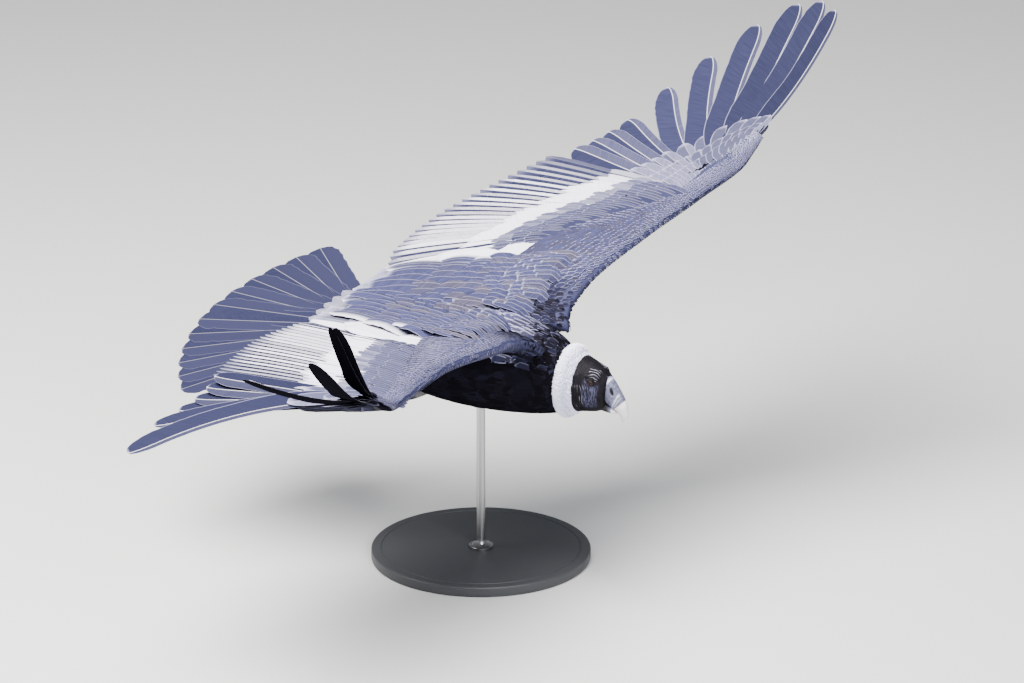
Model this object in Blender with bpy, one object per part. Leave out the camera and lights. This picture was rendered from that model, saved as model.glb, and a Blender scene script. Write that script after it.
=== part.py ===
"""Andean condor, adult female, gliding on spread wings, life size, on a plain display stand.

Row frame, metres: +Z up, the bird faces -Y and its left wing points to +X. The origin is the middle of
the stand's foot. The bird is modelled level in its own frame, whose axes are the row's, and one empty
gives it its height, climb and bank. Points of the bird are written as (forward, left, up).
"""

import math

import bmesh
import bpy
import numpy as np
from mathutils import Matrix, Vector

GAP = 0.0003
DEG = math.pi / 180

# Attitude
BODY_PLACE = (-0.0185, 0.0350)
BODY_HEIGHT = 0.520
CLIMB = 2.5 * DEG
BANK = 7.1 * DEG
HEAD_TURN = 7.0 * DEG
TURN_FROM = 0.290

# Trunk, from the tail root to the face: top point, bottom point (forward, up) and half width
TRUNK = (
    ((-0.300, 0.030), (-0.300, -0.040), 0.060),
    ((-0.240, 0.052), (-0.240, -0.068), 0.082),
    ((-0.160, 0.072), (-0.160, -0.105), 0.105),
    ((-0.060, 0.088), (-0.060, -0.138), 0.124),
    ((0.040, 0.094), (0.040, -0.148), 0.130),
    ((0.130, 0.088), (0.120, -0.150), 0.120),
    ((0.200, 0.070), (0.185, -0.148), 0.100),
    ((0.250, 0.050), (0.228, -0.143), 0.078),
    ((0.284, 0.028), (0.258, -0.136), 0.062),
    ((0.308, 0.014), (0.287, -0.127), 0.0555),
    ((0.328, 0.008), (0.310, -0.121), 0.051),
    ((0.346, 0.001), (0.332, -0.117), 0.0465),
    ((0.361, -0.007), (0.347, -0.114), 0.041),
    ((0.372, -0.017), (0.358, -0.110), 0.033),
    ((0.3785, -0.028), (0.3665, -0.104), 0.022),
    ((0.3805, -0.045), (0.373, -0.088), 0.009),
)
TORSO_END = 7.90
NECK_END = 9.30
GAP_STATIONS = 0.012
TRUNK_STEP, TRUNK_SIDES = 0.5, 20
NECK_STEP, NECK_SIDES = 0.75, 16
RUFF_FROM, RUFF_TO = 8.02, (9.22, 8.75)
RUFF_CORE, RUFF_DEPTH = 0.007, 0.009
RUFF_SHARES, RUFF_RISE = (0, 0.4, 0.75, 1), (-0.6, 0.5, 1.0, 0.6)
RUFF_LOCKS, RUFF_WEBS, RUFF_TILT = 20, (0.0145, 0.0145), 8 * DEG

# Bill: culmen, cutting edge (forward, up) and half width
UPPER_BILL = (
    ((0.362, -0.022), (0.346, -0.071), 0.0165),
    ((0.3855, -0.031), (0.362, -0.082), 0.0165),
    ((0.4000, -0.052), (0.375, -0.092), 0.0150),
    ((0.4150, -0.073), (0.388, -0.100), 0.0135),
    ((0.4265, -0.092), (0.3975, -0.1060), 0.0115),
    ((0.4275, -0.111), (0.4040, -0.1150), 0.0080),
    ((0.4185, -0.1275), (0.4070, -0.1240), 0.0042),
    ((0.4105, -0.1345), (0.4085, -0.1330), 0.0012),
)
LOWER_BILL = (
    ((0.346, -0.0725), (0.345, -0.107), 0.0175),
    ((0.362, -0.0845), (0.361, -0.1115), 0.0150),
    ((0.376, -0.0950), (0.376, -0.1135), 0.0115),
    ((0.388, -0.1035), (0.388, -0.1140), 0.0075),
    ((0.3955, -0.1095), (0.3950, -0.1130), 0.0025),
)
EYE = (0.3525, 0.0325, -0.0310)
EYE_RADIUS = 0.0090
EYE_WAY = (0.45, 0.88, 0.12)
LID_OUT, LID_THICK, LID_OVAL, LID_GRID = 0.42, 0.0024, 0.86, (12, 5)
NOSTRIL, NOSTRIL_SIZE, NOSTRIL_TURN = (0.3925, 0.0140, -0.0500), (0.0022, 0.0045, 0.0070), -0.7
EAR, EAR_WAY, EAR_RING, EAR_GRID = (0.3250, 0.0490, -0.0640), (0.1, 1.0, 0.0), (0.0060, 0.0022), (8, 4)
BROW = ((0.333, 0.040, -0.0215), (0.347, 0.034, -0.019), (0.360, 0.028, -0.0225), (0.368, 0.022, -0.030))
BROW_RADII = (0.0020, 0.0042, 0.0038, 0.0018)
CHEEK = ((0.338, 0.0445, -0.046), (0.343, 0.0445, -0.062), (0.350, 0.040, -0.077), (0.358, 0.032, -0.088))
CHEEK_RADII = (0.0018, 0.0034, 0.0030, 0.0016)
BILL_POWER, BILL_SIDES = 2.2, 10

# Wing bones
SHOULDER = (0.030, 0.080, 0.050)
HUMERUS = 0.260
FOREARM = 0.310
HAND = {"left": 0.235, "right": 0.215}
ARM_ANGLES = {  # sweep forward and lift of upper arm, forearm and hand
    "left": ((7.2, 17.0), (50.4, 9.6), (17.5, 15.0)),
    "right": ((14.5, 16.4), (19.0, 5.6), (23.5, 30.8)),
}
# Leading edge: 0 at the body, 1 at the wrist, 2 at the hand's tip
LEAD = {
    "left": {
        0.0: (0.258, 0.050, 0.034),
        0.15: (0.240, 0.095, 0.072),
        0.3: (0.257, 0.190, 0.117),
        0.65: (0.293, 0.360, 0.144),
        1.0: (0.337, 0.520, 0.170),
        1.6: (0.392, 0.665, 0.212),
        2.0: (0.392, 0.745, 0.240),
    },
    "right": {
        0.0: (0.258, -0.050, 0.034),
        0.15: (0.242, -0.100, 0.070),
        0.3: (0.243, -0.200, 0.108),
        0.65: (0.214, -0.400, 0.142),
        1.0: (0.228, -0.610, 0.160),
        1.6: (0.276, -0.715, 0.215),
        2.0: (0.284, -0.790, 0.266),
    },
}
REAR_INMOST = (-0.120, 0.055, 0.045)
REAR_DEPTH = 0.055
ARM_THICKNESS = {0.0: 0.066, 0.5: 0.046, 1.04: 0.032}
HAND_THICKNESS = {0.9: 0.033, 1.5: 0.026, 2.05: 0.014}
SECTION_SIDES, SECTION_TAPER, SECTION_ARCH = 12, 0.62, 0.10
ARM_SPAN, ARM_STEPS = (0.0, 1.04), 10
HAND_SPAN, TIP_SPAN, HAND_STEPS = (0.96, 1.62), (1.40, 2.0), 3

# Primaries, from the inmost to the outmost: each table's stops are feather numbers
PRIMARIES = 10
ROOT_SPREAD = 1.3  # above 1 the roots stand closer together towards the wrist
PRIMARY_LENGTH = (0.41, 0.42, 0.44, 0.47, 0.51, 0.56, 0.60, 0.61, 0.58, 0.51)
PRIMARY_SWEEP = {
    "left": {1: -67.6, 2: -61.3, 4: -50, 5: -38.2, 6: -28.1, 8: -10.4, 10: -1.2},
    "right": {1: -81, 3: -76, 4: -73, 5: -66, 6: -48, 7: 1.6, 8: 18, 10: 24.4},
}
PRIMARY_LIFT = {
    "left": {1: -0.2, 4: -2.2, 5: 1.8, 6: 4.8, 8: 12, 10: 14.4},
    "right": {1: 4.9, 3: -1, 4: -3.5, 5: -4.5, 6: -2.5, 7: 29.3, 8: 33.5, 10: 41},
}
PRIMARY_BEND = {
    "left": {1: 0, 4: 8, 5: 20, 7: 20, 10: 28},
    "right": {1: 0, 4: -4, 6: -30, 7: 12, 8: 22, 10: 30},
}
PRIMARY_CURVE = {
    "left": {1: 0, 4: -6, 5: -19, 7: -19, 8: -12, 10: -2},
    "right": {1: 0, 5: -4, 6: -8, 7: 0, 10: 8},
}
PRIMARY_OUTER = {1: 0.024, 5: 0.022, 7: 0.018, 10: 0.014}
PRIMARY_INNER = {1: 0.038, 4: 0.046, 6: 0.052, 8: 0.050, 10: 0.038}
FINGER_FROM = 5
FINGER_NOTCH = 0.80
FINGER_SPLIT = (0.38, 0.54)
PRIMARY_COVERT, COVERT_RAISED, COVERT_WEBS = 0.33, 0.007, (0.75, 0.55)
# Secondaries, from the wrist inwards
SECONDARIES = 12
SECONDARY_LENGTH = {0.0: 0.425, 0.5: 0.430, 1.0: 0.378}
SECONDARY_SWEEP = {"left": {0.0: -76, 0.5: -92, 1.0: -111}, "right": {0.0: -84, 0.5: -95, 1.0: -105}}
SECONDARY_LIFT = {"left": {0.0: 0, 1.0: -7.2}, "right": {0.0: 3.6, 1.0: -3.2}}
SECONDARY_BEND = -8
SECONDARY_REACH = 1.12  # the row runs this many forearm lengths inwards from the wrist
# Inner feathers, each row from the wing towards the back
TERTIALS, TERTIAL_WEBS, TERTIAL_ARCH = 5, (0.027, 0.032), 0.012
TERTIAL_LAST = ((-0.010, 0.085, 0.062), (-0.318, 0.040, 0.058))
SCAPULARS, SCAPULAR_WEBS, SCAPULAR_ARCH = 5, (0.020, 0.024), 0.014
SCAPULAR_ROOTS = ((0.045, 0.205, 0.122), (0.025, 0.070, 0.096))
SCAPULAR_TIPS = ((-0.215, 0.150, 0.096), (-0.250, 0.025, 0.082))
# Tiers over the secondaries: number, start and length as shares of the feather, height, half widths
TIERS = {
    "secondary": (SECONDARIES, 0.04, 0.96, 0.0000, 0.024, 0.030),
    "greater": (9, 0.02, 0.54, 0.0085, 0.027, 0.032),
    "median": (6, -0.06, 0.40, 0.0165, 0.036, 0.042),
}
# Stops along a feather, and its outline: where the tip begins, where the base ends and its share of width
RIBBED_SHARES, PLAIN_SHARES = (0, 0.4, 0.80, 0.94, 1), (0, 0.5, 0.87, 1)
PRIMARY_SHAPE, COVERT_SHAPE = (0.80, 0.36, 0.25), (0.72, 0.5, 0.3)
SECONDARY_SHAPE, SCAPULAR_SHAPE = (0.80, 0.20, 0.6), (0.70, 0.25, 0.5)
TAIL_SHARES, TAIL_SHAPE = (0.08, 0.45, 0.80, 0.93, 1.0), (0.84, 0.3, 0.5)
RUFF_SHAPE = (0.45, 0.2, 0.7)
ARM_TILT, HAND_TILT = 6 * DEG, 9 * DEG
VANE_EDGE, VANE_RIB = 0.0010, 0.0026
WRIST_CUT = -72
TIP_FROM, TIP_CUT = 7, {"left": -27, "right": -35}

# Tail
TAIL_FEATHERS = 12
TAIL_ROOT = (-0.262, 0.0, 0.0)
TAIL_LENGTH = (0.415, 0.402)
TAIL_HALF_FAN = 44 * DEG
TAIL_ROLL = 7.5 * DEG
TAIL_PITCH = 4.0 * DEG
TAIL_WEBS = 0.028, 0.034
TAIL_STACK, TAIL_TILT, TAIL_ROOT_SPREAD = 0.0030, 2.0, 0.030
TAIL_CORE, TAIL_CORE_UP, TAIL_CORE_STEPS = (0.090, 0.058, 0.070, 0.030, 0.006), -0.004, 4

# Legs, trailed under the tail: points (forward, left, up) and radii
THIGH = (((-0.070, 0.058, -0.085), 0.030), ((-0.130, 0.056, -0.105), 0.034),
         ((-0.190, 0.052, -0.098), 0.026), ((-0.230, 0.050, -0.086), 0.0135))
SHANK = (((-0.215, 0.050, -0.090), 0.0125), ((-0.270, 0.048, -0.080), 0.0095),
         ((-0.325, 0.047, -0.074), 0.0100), ((-0.337, 0.047, -0.073), 0.0120))
TOES = {"outer": (0.088, -9, 0.0072), "middle": (0.112, -1, 0.0078), "inner": (0.080, 9, 0.0075)}
HIND_TOE = (0.034, 150, 0.0062)
TOE_FALL, TOE_ARCH = 2 * DEG, (0.16, 0.22)
THIGH_SIDES, TOE_SIDES = 10, 5
TOE_STOPS = (-0.05, 0.35, 0.72, 0.80, 0.92, 1.0)
TOE_TAPER = (1.0, 0.92, 0.74, 0.50, 0.34, 0.08)

# Stand
BASE_RADIUS = 0.250
BASE_THICKNESS = 0.024
BASE_CHAMFER = 0.004
BASE_SIDES, ROD_SIDES = 44, 14
ROD_RADIUS = 0.010
COLLAR_RADIUS, COLLAR_HEIGHT = 0.028, 0.010

# Materials: name, colour, roughness and metallic value
COLOURS = {
    "dark": ("dark_plumage", (0.02, 0.019, 0.022), 0.7, 0),
    "grey": ("grey_plumage", (0.12, 0.12, 0.15), 0.6, 0),
    "white": ("white_down", (0.75, 0.75, 0.78), 0.8, 0),
    "skin": ("bare_skin", (0.05, 0.048, 0.05), 0.6, 0),
    "horn": ("bill_horn", (0.55, 0.53, 0.48), 0.35, 0),
    "eye": ("eye", (0.05, 0.015, 0.01), 0.08, 0),
    "foot": ("foot_skin", (0.09, 0.09, 0.095), 0.6, 0),
    "steel": ("steel", (0.55, 0.55, 0.56), 0.3, 1),
    "base": ("dark_base", (0.04, 0.04, 0.042), 0.5, 0),
}


def smooth(x, xs, ys):
    """A smooth curve through the stops, with flat-limited slopes, so that it doesn't overshoot."""
    xs, ys = np.asarray(xs, float), np.asarray(ys, float)
    steps = np.diff(ys, axis=0) / np.diff(xs).reshape((-1,) + (1,) * (ys.ndim - 1))
    slopes = np.zeros_like(ys)
    slopes[0], slopes[-1] = steps[0], steps[-1]
    before, after = steps[:-1], steps[1:]
    same_way = before * after > 0
    total = np.where(same_way, before + after, 1.0)
    slopes[1:-1] = np.where(same_way, 2 * before * after / total, 0.0)
    i = int(np.clip(np.searchsorted(xs, x) - 1, 0, len(xs) - 2))
    h = xs[i + 1] - xs[i]
    t = (x - xs[i]) / h
    return (
        ys[i] * (1 + 2 * t) * (1 - t) ** 2
        + slopes[i] * h * t * (1 - t) ** 2
        + ys[i + 1] * t * t * (3 - 2 * t)
        + slopes[i + 1] * h * t * t * (t - 1)
    )


def stops(x, table):
    """The smooth curve through a table of stops and values."""
    places = sorted(table)
    return smooth(x, places, [table[place] for place in places])


def turned(point):
    """A point of the head with the head's turn to the right."""
    forward, left, up = point
    return forward, left - math.tan(HEAD_TURN) * max(0.0, forward - TURN_FROM), up


def placed(points):
    """(forward, left, up) as x, y, z of the bird's frame."""
    points = np.asarray(points, float)
    return np.stack([points[..., 1], -points[..., 0], points[..., 2]], -1)


def direction(sweep, lift, side):
    """Unit vector (forward, left, up). Sweep turns from straight out towards forward."""
    return np.array(
        [
            math.sin(sweep) * math.cos(lift),
            side * math.cos(sweep) * math.cos(lift),
            math.sin(lift),
        ]
    )


def unit(v):
    return v / np.linalg.norm(v)


def finish(name, bm, parent, colour=None):
    """The mesh as a named object, its faces out, with the material of its colour."""
    bm.normal_update()
    bmesh.ops.recalc_face_normals(bm, faces=bm.faces)
    mesh = bpy.data.meshes.new(name)
    bm.to_mesh(mesh)
    bm.free()
    obj = bpy.data.objects.new(name, mesh)
    bpy.context.scene.collection.objects.link(obj)
    obj.parent = parent
    if colour:
        label, shade, roughness, metallic = colour
        material = bpy.data.materials.get(label) or bpy.data.materials.new(label)
        material.use_nodes = True
        shader = material.node_tree.nodes["Principled BSDF"]
        shader.inputs["Base Color"].default_value = (*shade, 1)
        shader.inputs["Roughness"].default_value = roughness
        shader.inputs["Metallic"].default_value = metallic
        mesh.materials.append(material)
    return obj


def loft(name, rings, parent, colour=None):
    """A closed body through rings of points, with flat ends split from their middle."""
    bm = bmesh.new()
    made = [[bm.verts.new(p) for p in ring] for ring in rings]
    count = len(made[0])
    for a, b in zip(made, made[1:]):
        for i in range(count):
            j = (i + 1) % count
            bm.faces.new((a[i], a[j], b[j]))
            bm.faces.new((a[i], b[j], b[i]))
    for ring in (made[0], made[-1]):
        middle = bm.verts.new(sum((v.co for v in ring), Vector()) / count)
        for i in range(count):
            bm.faces.new((ring[i], ring[(i + 1) % count], middle))
    return finish(name, bm, parent, colour)


def profile_ring(top, bottom, half_width, count, grow=0.0, power=2.0, shift=turned):
    """A rounded ring between a top and a bottom point, (forward, up) each."""
    top, bottom = np.array(top, float), np.array(bottom, float)
    middle, half = (top + bottom) / 2, (top - bottom) / 2
    half = half * (1 + grow / np.linalg.norm(half))
    ring = []
    for i in range(count):
        a = 2 * math.pi * i / count
        c, s = math.cos(a), math.sin(a)
        c, s = (math.copysign(abs(v) ** (2 / power), v) for v in (c, s))
        forward, up = middle + half * s
        ring.append(shift((forward, (half_width + grow) * c, up)))
    return placed(ring)


def trunk_at(s):
    """(top, bottom, half width) of the trunk at a station, which may lie between two."""
    flat = [(*top, *bottom, width) for top, bottom, width in TRUNK]
    v = smooth(s, range(len(flat)), flat)
    return v[:2], v[2:4], v[4]


def trunk(name, first, last, step, count, parent, colour, grow=0.0):
    """A length of the trunk, from one station to another."""
    number = max(1, round((last - first) / step))
    rings = [
        profile_ring(*trunk_at(first + (last - first) * i / number), count, grow)
        for i in range(number + 1)
    ]
    return loft(name, rings, parent, colour)


def apply_modifiers(obj):
    """The evaluated mesh takes the place of the object's own, and its modifiers go."""
    bpy.context.view_layer.update()
    graph = bpy.context.evaluated_depsgraph_get()
    mesh = bpy.data.meshes.new_from_object(obj.evaluated_get(graph))
    obj.modifiers.clear()
    obj.data = mesh


def keep_largest(obj):
    """Of the closed surfaces in a mesh, only the one that holds the most stays."""
    bm = bmesh.new()
    bm.from_mesh(obj.data)
    bmesh.ops.triangulate(bm, faces=bm.faces)
    bmesh.ops.remove_doubles(bm, verts=bm.verts, dist=1e-6)
    bmesh.ops.dissolve_degenerate(bm, edges=bm.edges, dist=1e-6)
    left, parts = set(bm.faces), []
    while left:
        seed = left.pop()
        part, todo = [seed], [seed]
        while todo:
            for edge in todo.pop().edges:
                for face in edge.link_faces:
                    if face in left:
                        left.discard(face)
                        part.append(face)
                        todo.append(face)
        parts.append(part)

    def volume(part):
        return sum(
            f.verts[0].co.dot(f.verts[1].co.cross(f.verts[2].co)) for f in part
        )

    parts.sort(key=volume)
    drop = [face for part in parts[:-1] for face in part]
    bmesh.ops.delete(bm, geom=drop, context="FACES")
    loose = [v for v in bm.verts if not v.link_faces]
    bmesh.ops.delete(bm, geom=loose, context="VERTS")
    bm.to_mesh(obj.data)
    bm.free()


def join(obj, pieces):
    """One union of a body with all its closed pieces, which are then removed."""
    group = bpy.data.collections.new(obj.name + "_pieces")
    for piece in pieces:
        group.objects.link(piece)
    union = obj.modifiers.new("union", "BOOLEAN")
    union.operation = "UNION"
    union.operand_type = "COLLECTION"
    union.collection = group
    union.solver = "MANIFOLD"
    apply_modifiers(obj)
    for piece in pieces:
        bpy.data.objects.remove(piece)
    bpy.data.collections.remove(group)
    keep_largest(obj)


def cut(obj, cutters, keep=()):
    """The body less each cutter. Cutters not named in keep are removed."""
    for cutter in cutters:
        less = obj.modifiers.new("cut", "BOOLEAN")
        less.operation = "DIFFERENCE"
        less.object = cutter
        less.solver = "MANIFOLD"
    apply_modifiers(obj)
    for cutter in cutters:
        if cutter not in keep:
            bpy.data.objects.remove(cutter)
    keep_largest(obj)


def half_space(name, point, normal, parent):
    """A large box whose one face passes through the point, on the side that the normal points to."""
    size = 3.0
    bm = bmesh.new()
    bmesh.ops.create_cube(bm, size=size)
    z = Vector(placed(normal)).normalized()
    turn = z.to_track_quat("Z", "Y").to_matrix().to_4x4()
    middle = Vector(placed(point)) + z * size / 2
    bm.transform(Matrix.Translation(middle) @ turn)
    return finish(name, bm, parent)


def arched_line(root, tip, arch, shares):
    """Points and directions along a feather that rises a little between its root and its tip."""
    lift = np.array([0, 0, 4 * arch])
    points = [root + (tip - root) * t + lift * t * (1 - t) for t in shares]
    aims = [unit(tip - root + lift * (1 - 2 * t)) for t in shares]
    return np.array(points), np.array(aims)


def vane_outline(t, half, tip_from, base_to, base_share, notch=(0, 0, 1)):
    """Half width of a feather at share t of its length: a narrow base, a long web and a round tip."""
    fall_from, fall_to, share = notch
    width = half
    if share < 1:
        width *= np.interp(t, (fall_from, fall_to), (1, share))
    if t < base_to:
        width *= base_share + (1 - base_share) * math.sin(math.pi / 2 * t / base_to)
    if t > tip_from:
        reach = (t - tip_from) / (1 - tip_from)
        width *= math.sqrt(max(0.0, 1 - reach**2)) * 0.94 + 0.06
    return width


def feather_line(root, sweep, lift, bend, curve, length, side, shares):
    """Points and directions along a feather's rib. Its lift grows by bend, its sweep falls by curve."""
    fine = 24
    dense = [np.array(root, float)]
    ways = []
    for i in range(fine):
        t = (i + 0.5) / fine
        way = direction(sweep + curve * (0.5 - t), lift + bend * (t - 0.5), side)
        ways.append(way)
        dense.append(dense[-1] + way * length / fine)
    dense, ways = np.array(dense), np.array(ways)
    points = [
        [np.interp(t * fine, range(fine + 1), dense[:, k]) for k in range(3)] for t in shares
    ]
    aims = [ways[min(fine - 1, int(t * fine))] for t in shares]
    return np.array(points), np.array(aims)


def vane(name, line, aims, normal, side, tilt, webs, shares, shape, parent, ribbed=True, notch=(0, 0, 1)):
    """A thin closed feather, its outer and inner web on a rib, both faces split alike."""
    outer, inner = webs
    bm = bmesh.new()
    columns = []
    for point, aim, t in zip(line, aims, shares):
        up = unit(normal - aim * (normal @ aim))
        across = side * np.cross(aim, up)
        across, up = (
            across * math.cos(tilt) + up * math.sin(tilt),
            up * math.cos(tilt) - across * math.sin(tilt),
        )
        profile = [(vane_outline(t, outer, *shape, notch), VANE_EDGE)]
        if ribbed:
            profile.append((0, VANE_RIB * (1 - 0.55 * t)))
        profile.append((-vane_outline(t, inner, *shape, notch), VANE_EDGE))
        top = [point + across * offset + up * thick / 2 for offset, thick in profile]
        bottom = [point + across * offset - up * thick / 2 for offset, thick in reversed(profile)]
        columns.append([bm.verts.new(p) for p in placed(top + bottom)])
    count = len(columns[0])
    for a, b in zip(columns, columns[1:]):
        for i in range(count):
            j = (i + 1) % count
            if count / 2 <= i < count - 1:
                bm.faces.new((a[i], a[j], b[i]))
                bm.faces.new((b[i], a[j], b[j]))
            else:
                bm.faces.new((a[i], a[j], b[j]))
                bm.faces.new((a[i], b[j], b[i]))
    for end in (columns[0], columns[-1]):
        for i in range(count // 2 - 1):
            bm.faces.new((end[i], end[i + 1], end[-2 - i]))
            bm.faces.new((end[i], end[-2 - i], end[-1 - i]))
    return finish(name, bm, parent)


class Wing:
    """One wing: its bones, its edges and the places of its feathers."""

    def __init__(self, name):
        self.name = name
        self.side = 1 if name == "left" else -1
        lengths = (HUMERUS, FOREARM, HAND[name])
        joints = [np.array(SHOULDER) * (1, self.side, 1)]
        for (sweep, lift), length in zip(ARM_ANGLES[name], lengths):
            joints.append(joints[-1] + length * direction(sweep * DEG, lift * DEG, self.side))
        self.shoulder, self.elbow, self.wrist, self.tip = joints
        self.hand_way = unit(self.tip - self.wrist)

    def lead(self, s):
        """Leading edge: s 0 at the body, 1 at the wrist, 2 at the hand's tip."""
        return stops(s, LEAD[self.name])

    def rear(self, s):
        """Rear edge of the fleshy arm, where the flight feathers leave it."""
        inmost = np.array(REAR_INMOST) * (1, self.side, 1)
        behind = np.array([-REAR_DEPTH, 0, -0.006])
        tip = self.tip + np.array([-0.012, 0, 0])
        return smooth(s, (0, 0.5, 1, 2), (inmost, self.elbow + behind, self.wrist + 0.9 * behind, tip))

    def bone(self, s):
        """s 0 at the wrist, 1 at the elbow, more towards the shoulder."""
        if s <= 1:
            return self.wrist + (self.elbow - self.wrist) * s
        return self.elbow + (self.shoulder - self.elbow) * (s - 1)

    def up_at(self, s):
        """Up out of the wing: s 0 to 1 along the arm, 2 at the hand's tip."""
        ahead, behind = self.lead(min(2, s + 0.1)), self.lead(max(0, s - 0.1))
        up = np.cross(ahead - behind, self.rear(s) - self.lead(s)) * -self.side
        return unit(up if up[2] > 0 else -up)

    def core_ring(self, s, thick):
        """Wing section between the leading and the rear edge, thickest ahead of its middle."""
        lead, rear, up = self.lead(s), self.rear(s), self.up_at(s)
        ring = []
        for i in range(SECTION_SIDES):
            a = 2 * math.pi * i / SECTION_SIDES
            x = (1 - math.cos(a)) / 2
            body = math.sin(a) * (1 - SECTION_TAPER * x) / (1 - SECTION_TAPER / 3)
            arch = SECTION_ARCH * thick * math.sin(math.pi * x)
            ring.append(lead + (rear - lead) * x + up * (thick / 2 * body + arch))
        return placed(ring)

    def core(self, label, span, steps, thickness, parent, colour):
        """The arm's or hand's flesh, from one place of the leading edge to another."""
        rings = [self.core_ring(s, stops(s, thickness)) for s in np.linspace(*span, steps + 1)]
        return loft(f"wing_{self.name}_{label}", rings, parent, colour)

    def primary_root(self, k):
        return self.wrist + (self.tip - self.wrist) * ((k - 0.5) / PRIMARIES) ** ROOT_SPREAD

    def primary(self, k, shares, part=1.0, raised=0.0):
        """Rib points and directions of primary k, from 1, or of the covert on its first part."""
        root = self.primary_root(k) + self.hand_up() * raised
        sweep, lift, bend, curve = (
            stops(k, table[self.name]) * DEG
            for table in (PRIMARY_SWEEP, PRIMARY_LIFT, PRIMARY_BEND, PRIMARY_CURVE)
        )
        shares = [t * part for t in shares]
        return feather_line(root, sweep, lift, bend, curve, PRIMARY_LENGTH[k - 1], self.side, shares)

    def secondary(self, t, shares, start=0.0, part=1.0, raised=0.0):
        """Rib of a feather in the secondaries' row or over it: t 0 at the wrist, 1 innermost."""
        sweep, lift = (stops(t, table[self.name]) * DEG for table in (SECONDARY_SWEEP, SECONDARY_LIFT))
        length = stops(t, SECONDARY_LENGTH)
        root = self.bone(t * SECONDARY_REACH) + self.row_up(t) * raised
        root = root + direction(sweep, lift, self.side) * length * start
        return feather_line(root, sweep, lift, SECONDARY_BEND * DEG, 0, length * part, self.side, shares)

    def tertial(self, t, shares):
        """Rib of an inner feather: t 0 next to the last secondary, 1 along the back."""
        first_root, first_tip = self.bone(SECONDARY_REACH), self.secondary(1, (0, 1))[0][1]
        last_root, last_tip = (np.array(point) * (1, self.side, 1) for point in TERTIAL_LAST)
        root = first_root + (last_root - first_root) * t
        tip = first_tip + (last_tip - first_tip) * t
        return arched_line(root, tip, TERTIAL_ARCH, shares)

    def scapular(self, t, shares):
        """Rib of a long shoulder feather: t 0 outermost, 1 along the back."""
        roots, tips = (np.array(ends) * (1, self.side, 1) for ends in (SCAPULAR_ROOTS, SCAPULAR_TIPS))
        root = roots[0] + (roots[1] - roots[0]) * t
        tip = tips[0] + (tips[1] - tips[0]) * t
        return arched_line(root, tip, SCAPULAR_ARCH, shares)

    def row_up(self, t):
        """Up out of the row of secondaries."""
        sweep, lift = (stops(t, table[self.name]) * DEG for table in (SECONDARY_SWEEP, SECONDARY_LIFT))
        up = np.cross(unit(self.elbow - self.wrist), direction(sweep, lift, self.side))
        return unit(up if up[2] > 0 else -up)

    def hand_up(self):
        up = np.cross(self.hand_way, direction(-65 * DEG, 0, self.side))
        return unit(up if up[2] > 0 else -up)


def build_arm(wing, parent, colour):
    core = wing.core("arm", ARM_SPAN, ARM_STEPS, ARM_THICKNESS, parent, colour)
    pieces = []
    for label, (count, start, part, raised, *webs) in TIERS.items():
        ribbed = label == "secondary"
        shares = RIBBED_SHARES if ribbed else PLAIN_SHARES
        for j in range(count):
            t = (j + 0.35) / count
            line, aims = wing.secondary(t, shares, start, part, raised)
            pieces.append(vane(f"{label}_{j}", line, aims, wing.row_up(t), wing.side, ARM_TILT, webs,
                               shares, SECONDARY_SHAPE, parent, ribbed))
    up = np.array([0, 0, 1.0])
    for j in range(TERTIALS):
        line, aims = wing.tertial((j + 0.5) / TERTIALS, RIBBED_SHARES)
        pieces.append(vane(f"tertial_{j}", line, aims, up, wing.side, ARM_TILT, TERTIAL_WEBS, RIBBED_SHARES,
                           SECONDARY_SHAPE, parent, False))
    for j in range(SCAPULARS):
        line, aims = wing.scapular((j + 0.5) / SCAPULARS, PLAIN_SHARES)
        pieces.append(vane(f"scapular_{j}", line, aims, up, wing.side, ARM_TILT, SCAPULAR_WEBS, PLAIN_SHARES,
                           SCAPULAR_SHAPE, parent, False))
    join(core, pieces)
    return core


def build_hand(wing, label, feathers, span, parent, colour):
    """A length of the hand with the primaries and their coverts that it carries."""
    core = wing.core(label, span, HAND_STEPS, HAND_THICKNESS, parent, colour)
    pieces = []
    for k in feathers:
        outer, inner = stops(k, PRIMARY_OUTER), stops(k, PRIMARY_INNER)
        shares = (0, *FINGER_SPLIT, 0.82, 0.95, 1)
        notch = (*FINGER_SPLIT, FINGER_NOTCH if k >= FINGER_FROM else 1.0)
        line, aims = wing.primary(k, shares)
        pieces.append(vane(f"primary_{k}", line, aims, wing.hand_up(), wing.side, HAND_TILT,
                           (outer, inner), shares, PRIMARY_SHAPE, parent, True, notch))
        shares = PLAIN_SHARES
        line, aims = wing.primary(k, shares, PRIMARY_COVERT, COVERT_RAISED)
        webs = outer * COVERT_WEBS[0], inner * COVERT_WEBS[1]
        pieces.append(vane(f"covert_{k}", line, aims, wing.hand_up(), wing.side, HAND_TILT, webs,
                           shares, COVERT_SHAPE, parent, False))
    join(core, pieces)
    return core


def part_wing(wing, arm, hand, tip, torso_cutter, parent):
    """Thin cuts through the wing at the wrist and between the hand's sixth and seventh primary."""
    middle = wing.primary_root((TIP_FROM - 1 + TIP_FROM) / 2)
    for point, sweep, inside, outside in (
        (wing.wrist, WRIST_CUT, arm, hand),
        (middle, TIP_CUT[wing.name], hand, tip),
    ):
        normal = unit(np.cross(direction(sweep * DEG, 0, wing.side), wing.hand_up()))
        normal = normal if normal @ wing.hand_way > 0 else -normal
        cut(inside, [half_space("beyond", point - normal * GAP / 2, normal, parent)])
        cut(outside, [half_space("within", point + normal * GAP / 2, -normal, parent)])
    cut(arm, [torso_cutter], keep=[torso_cutter])


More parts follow.
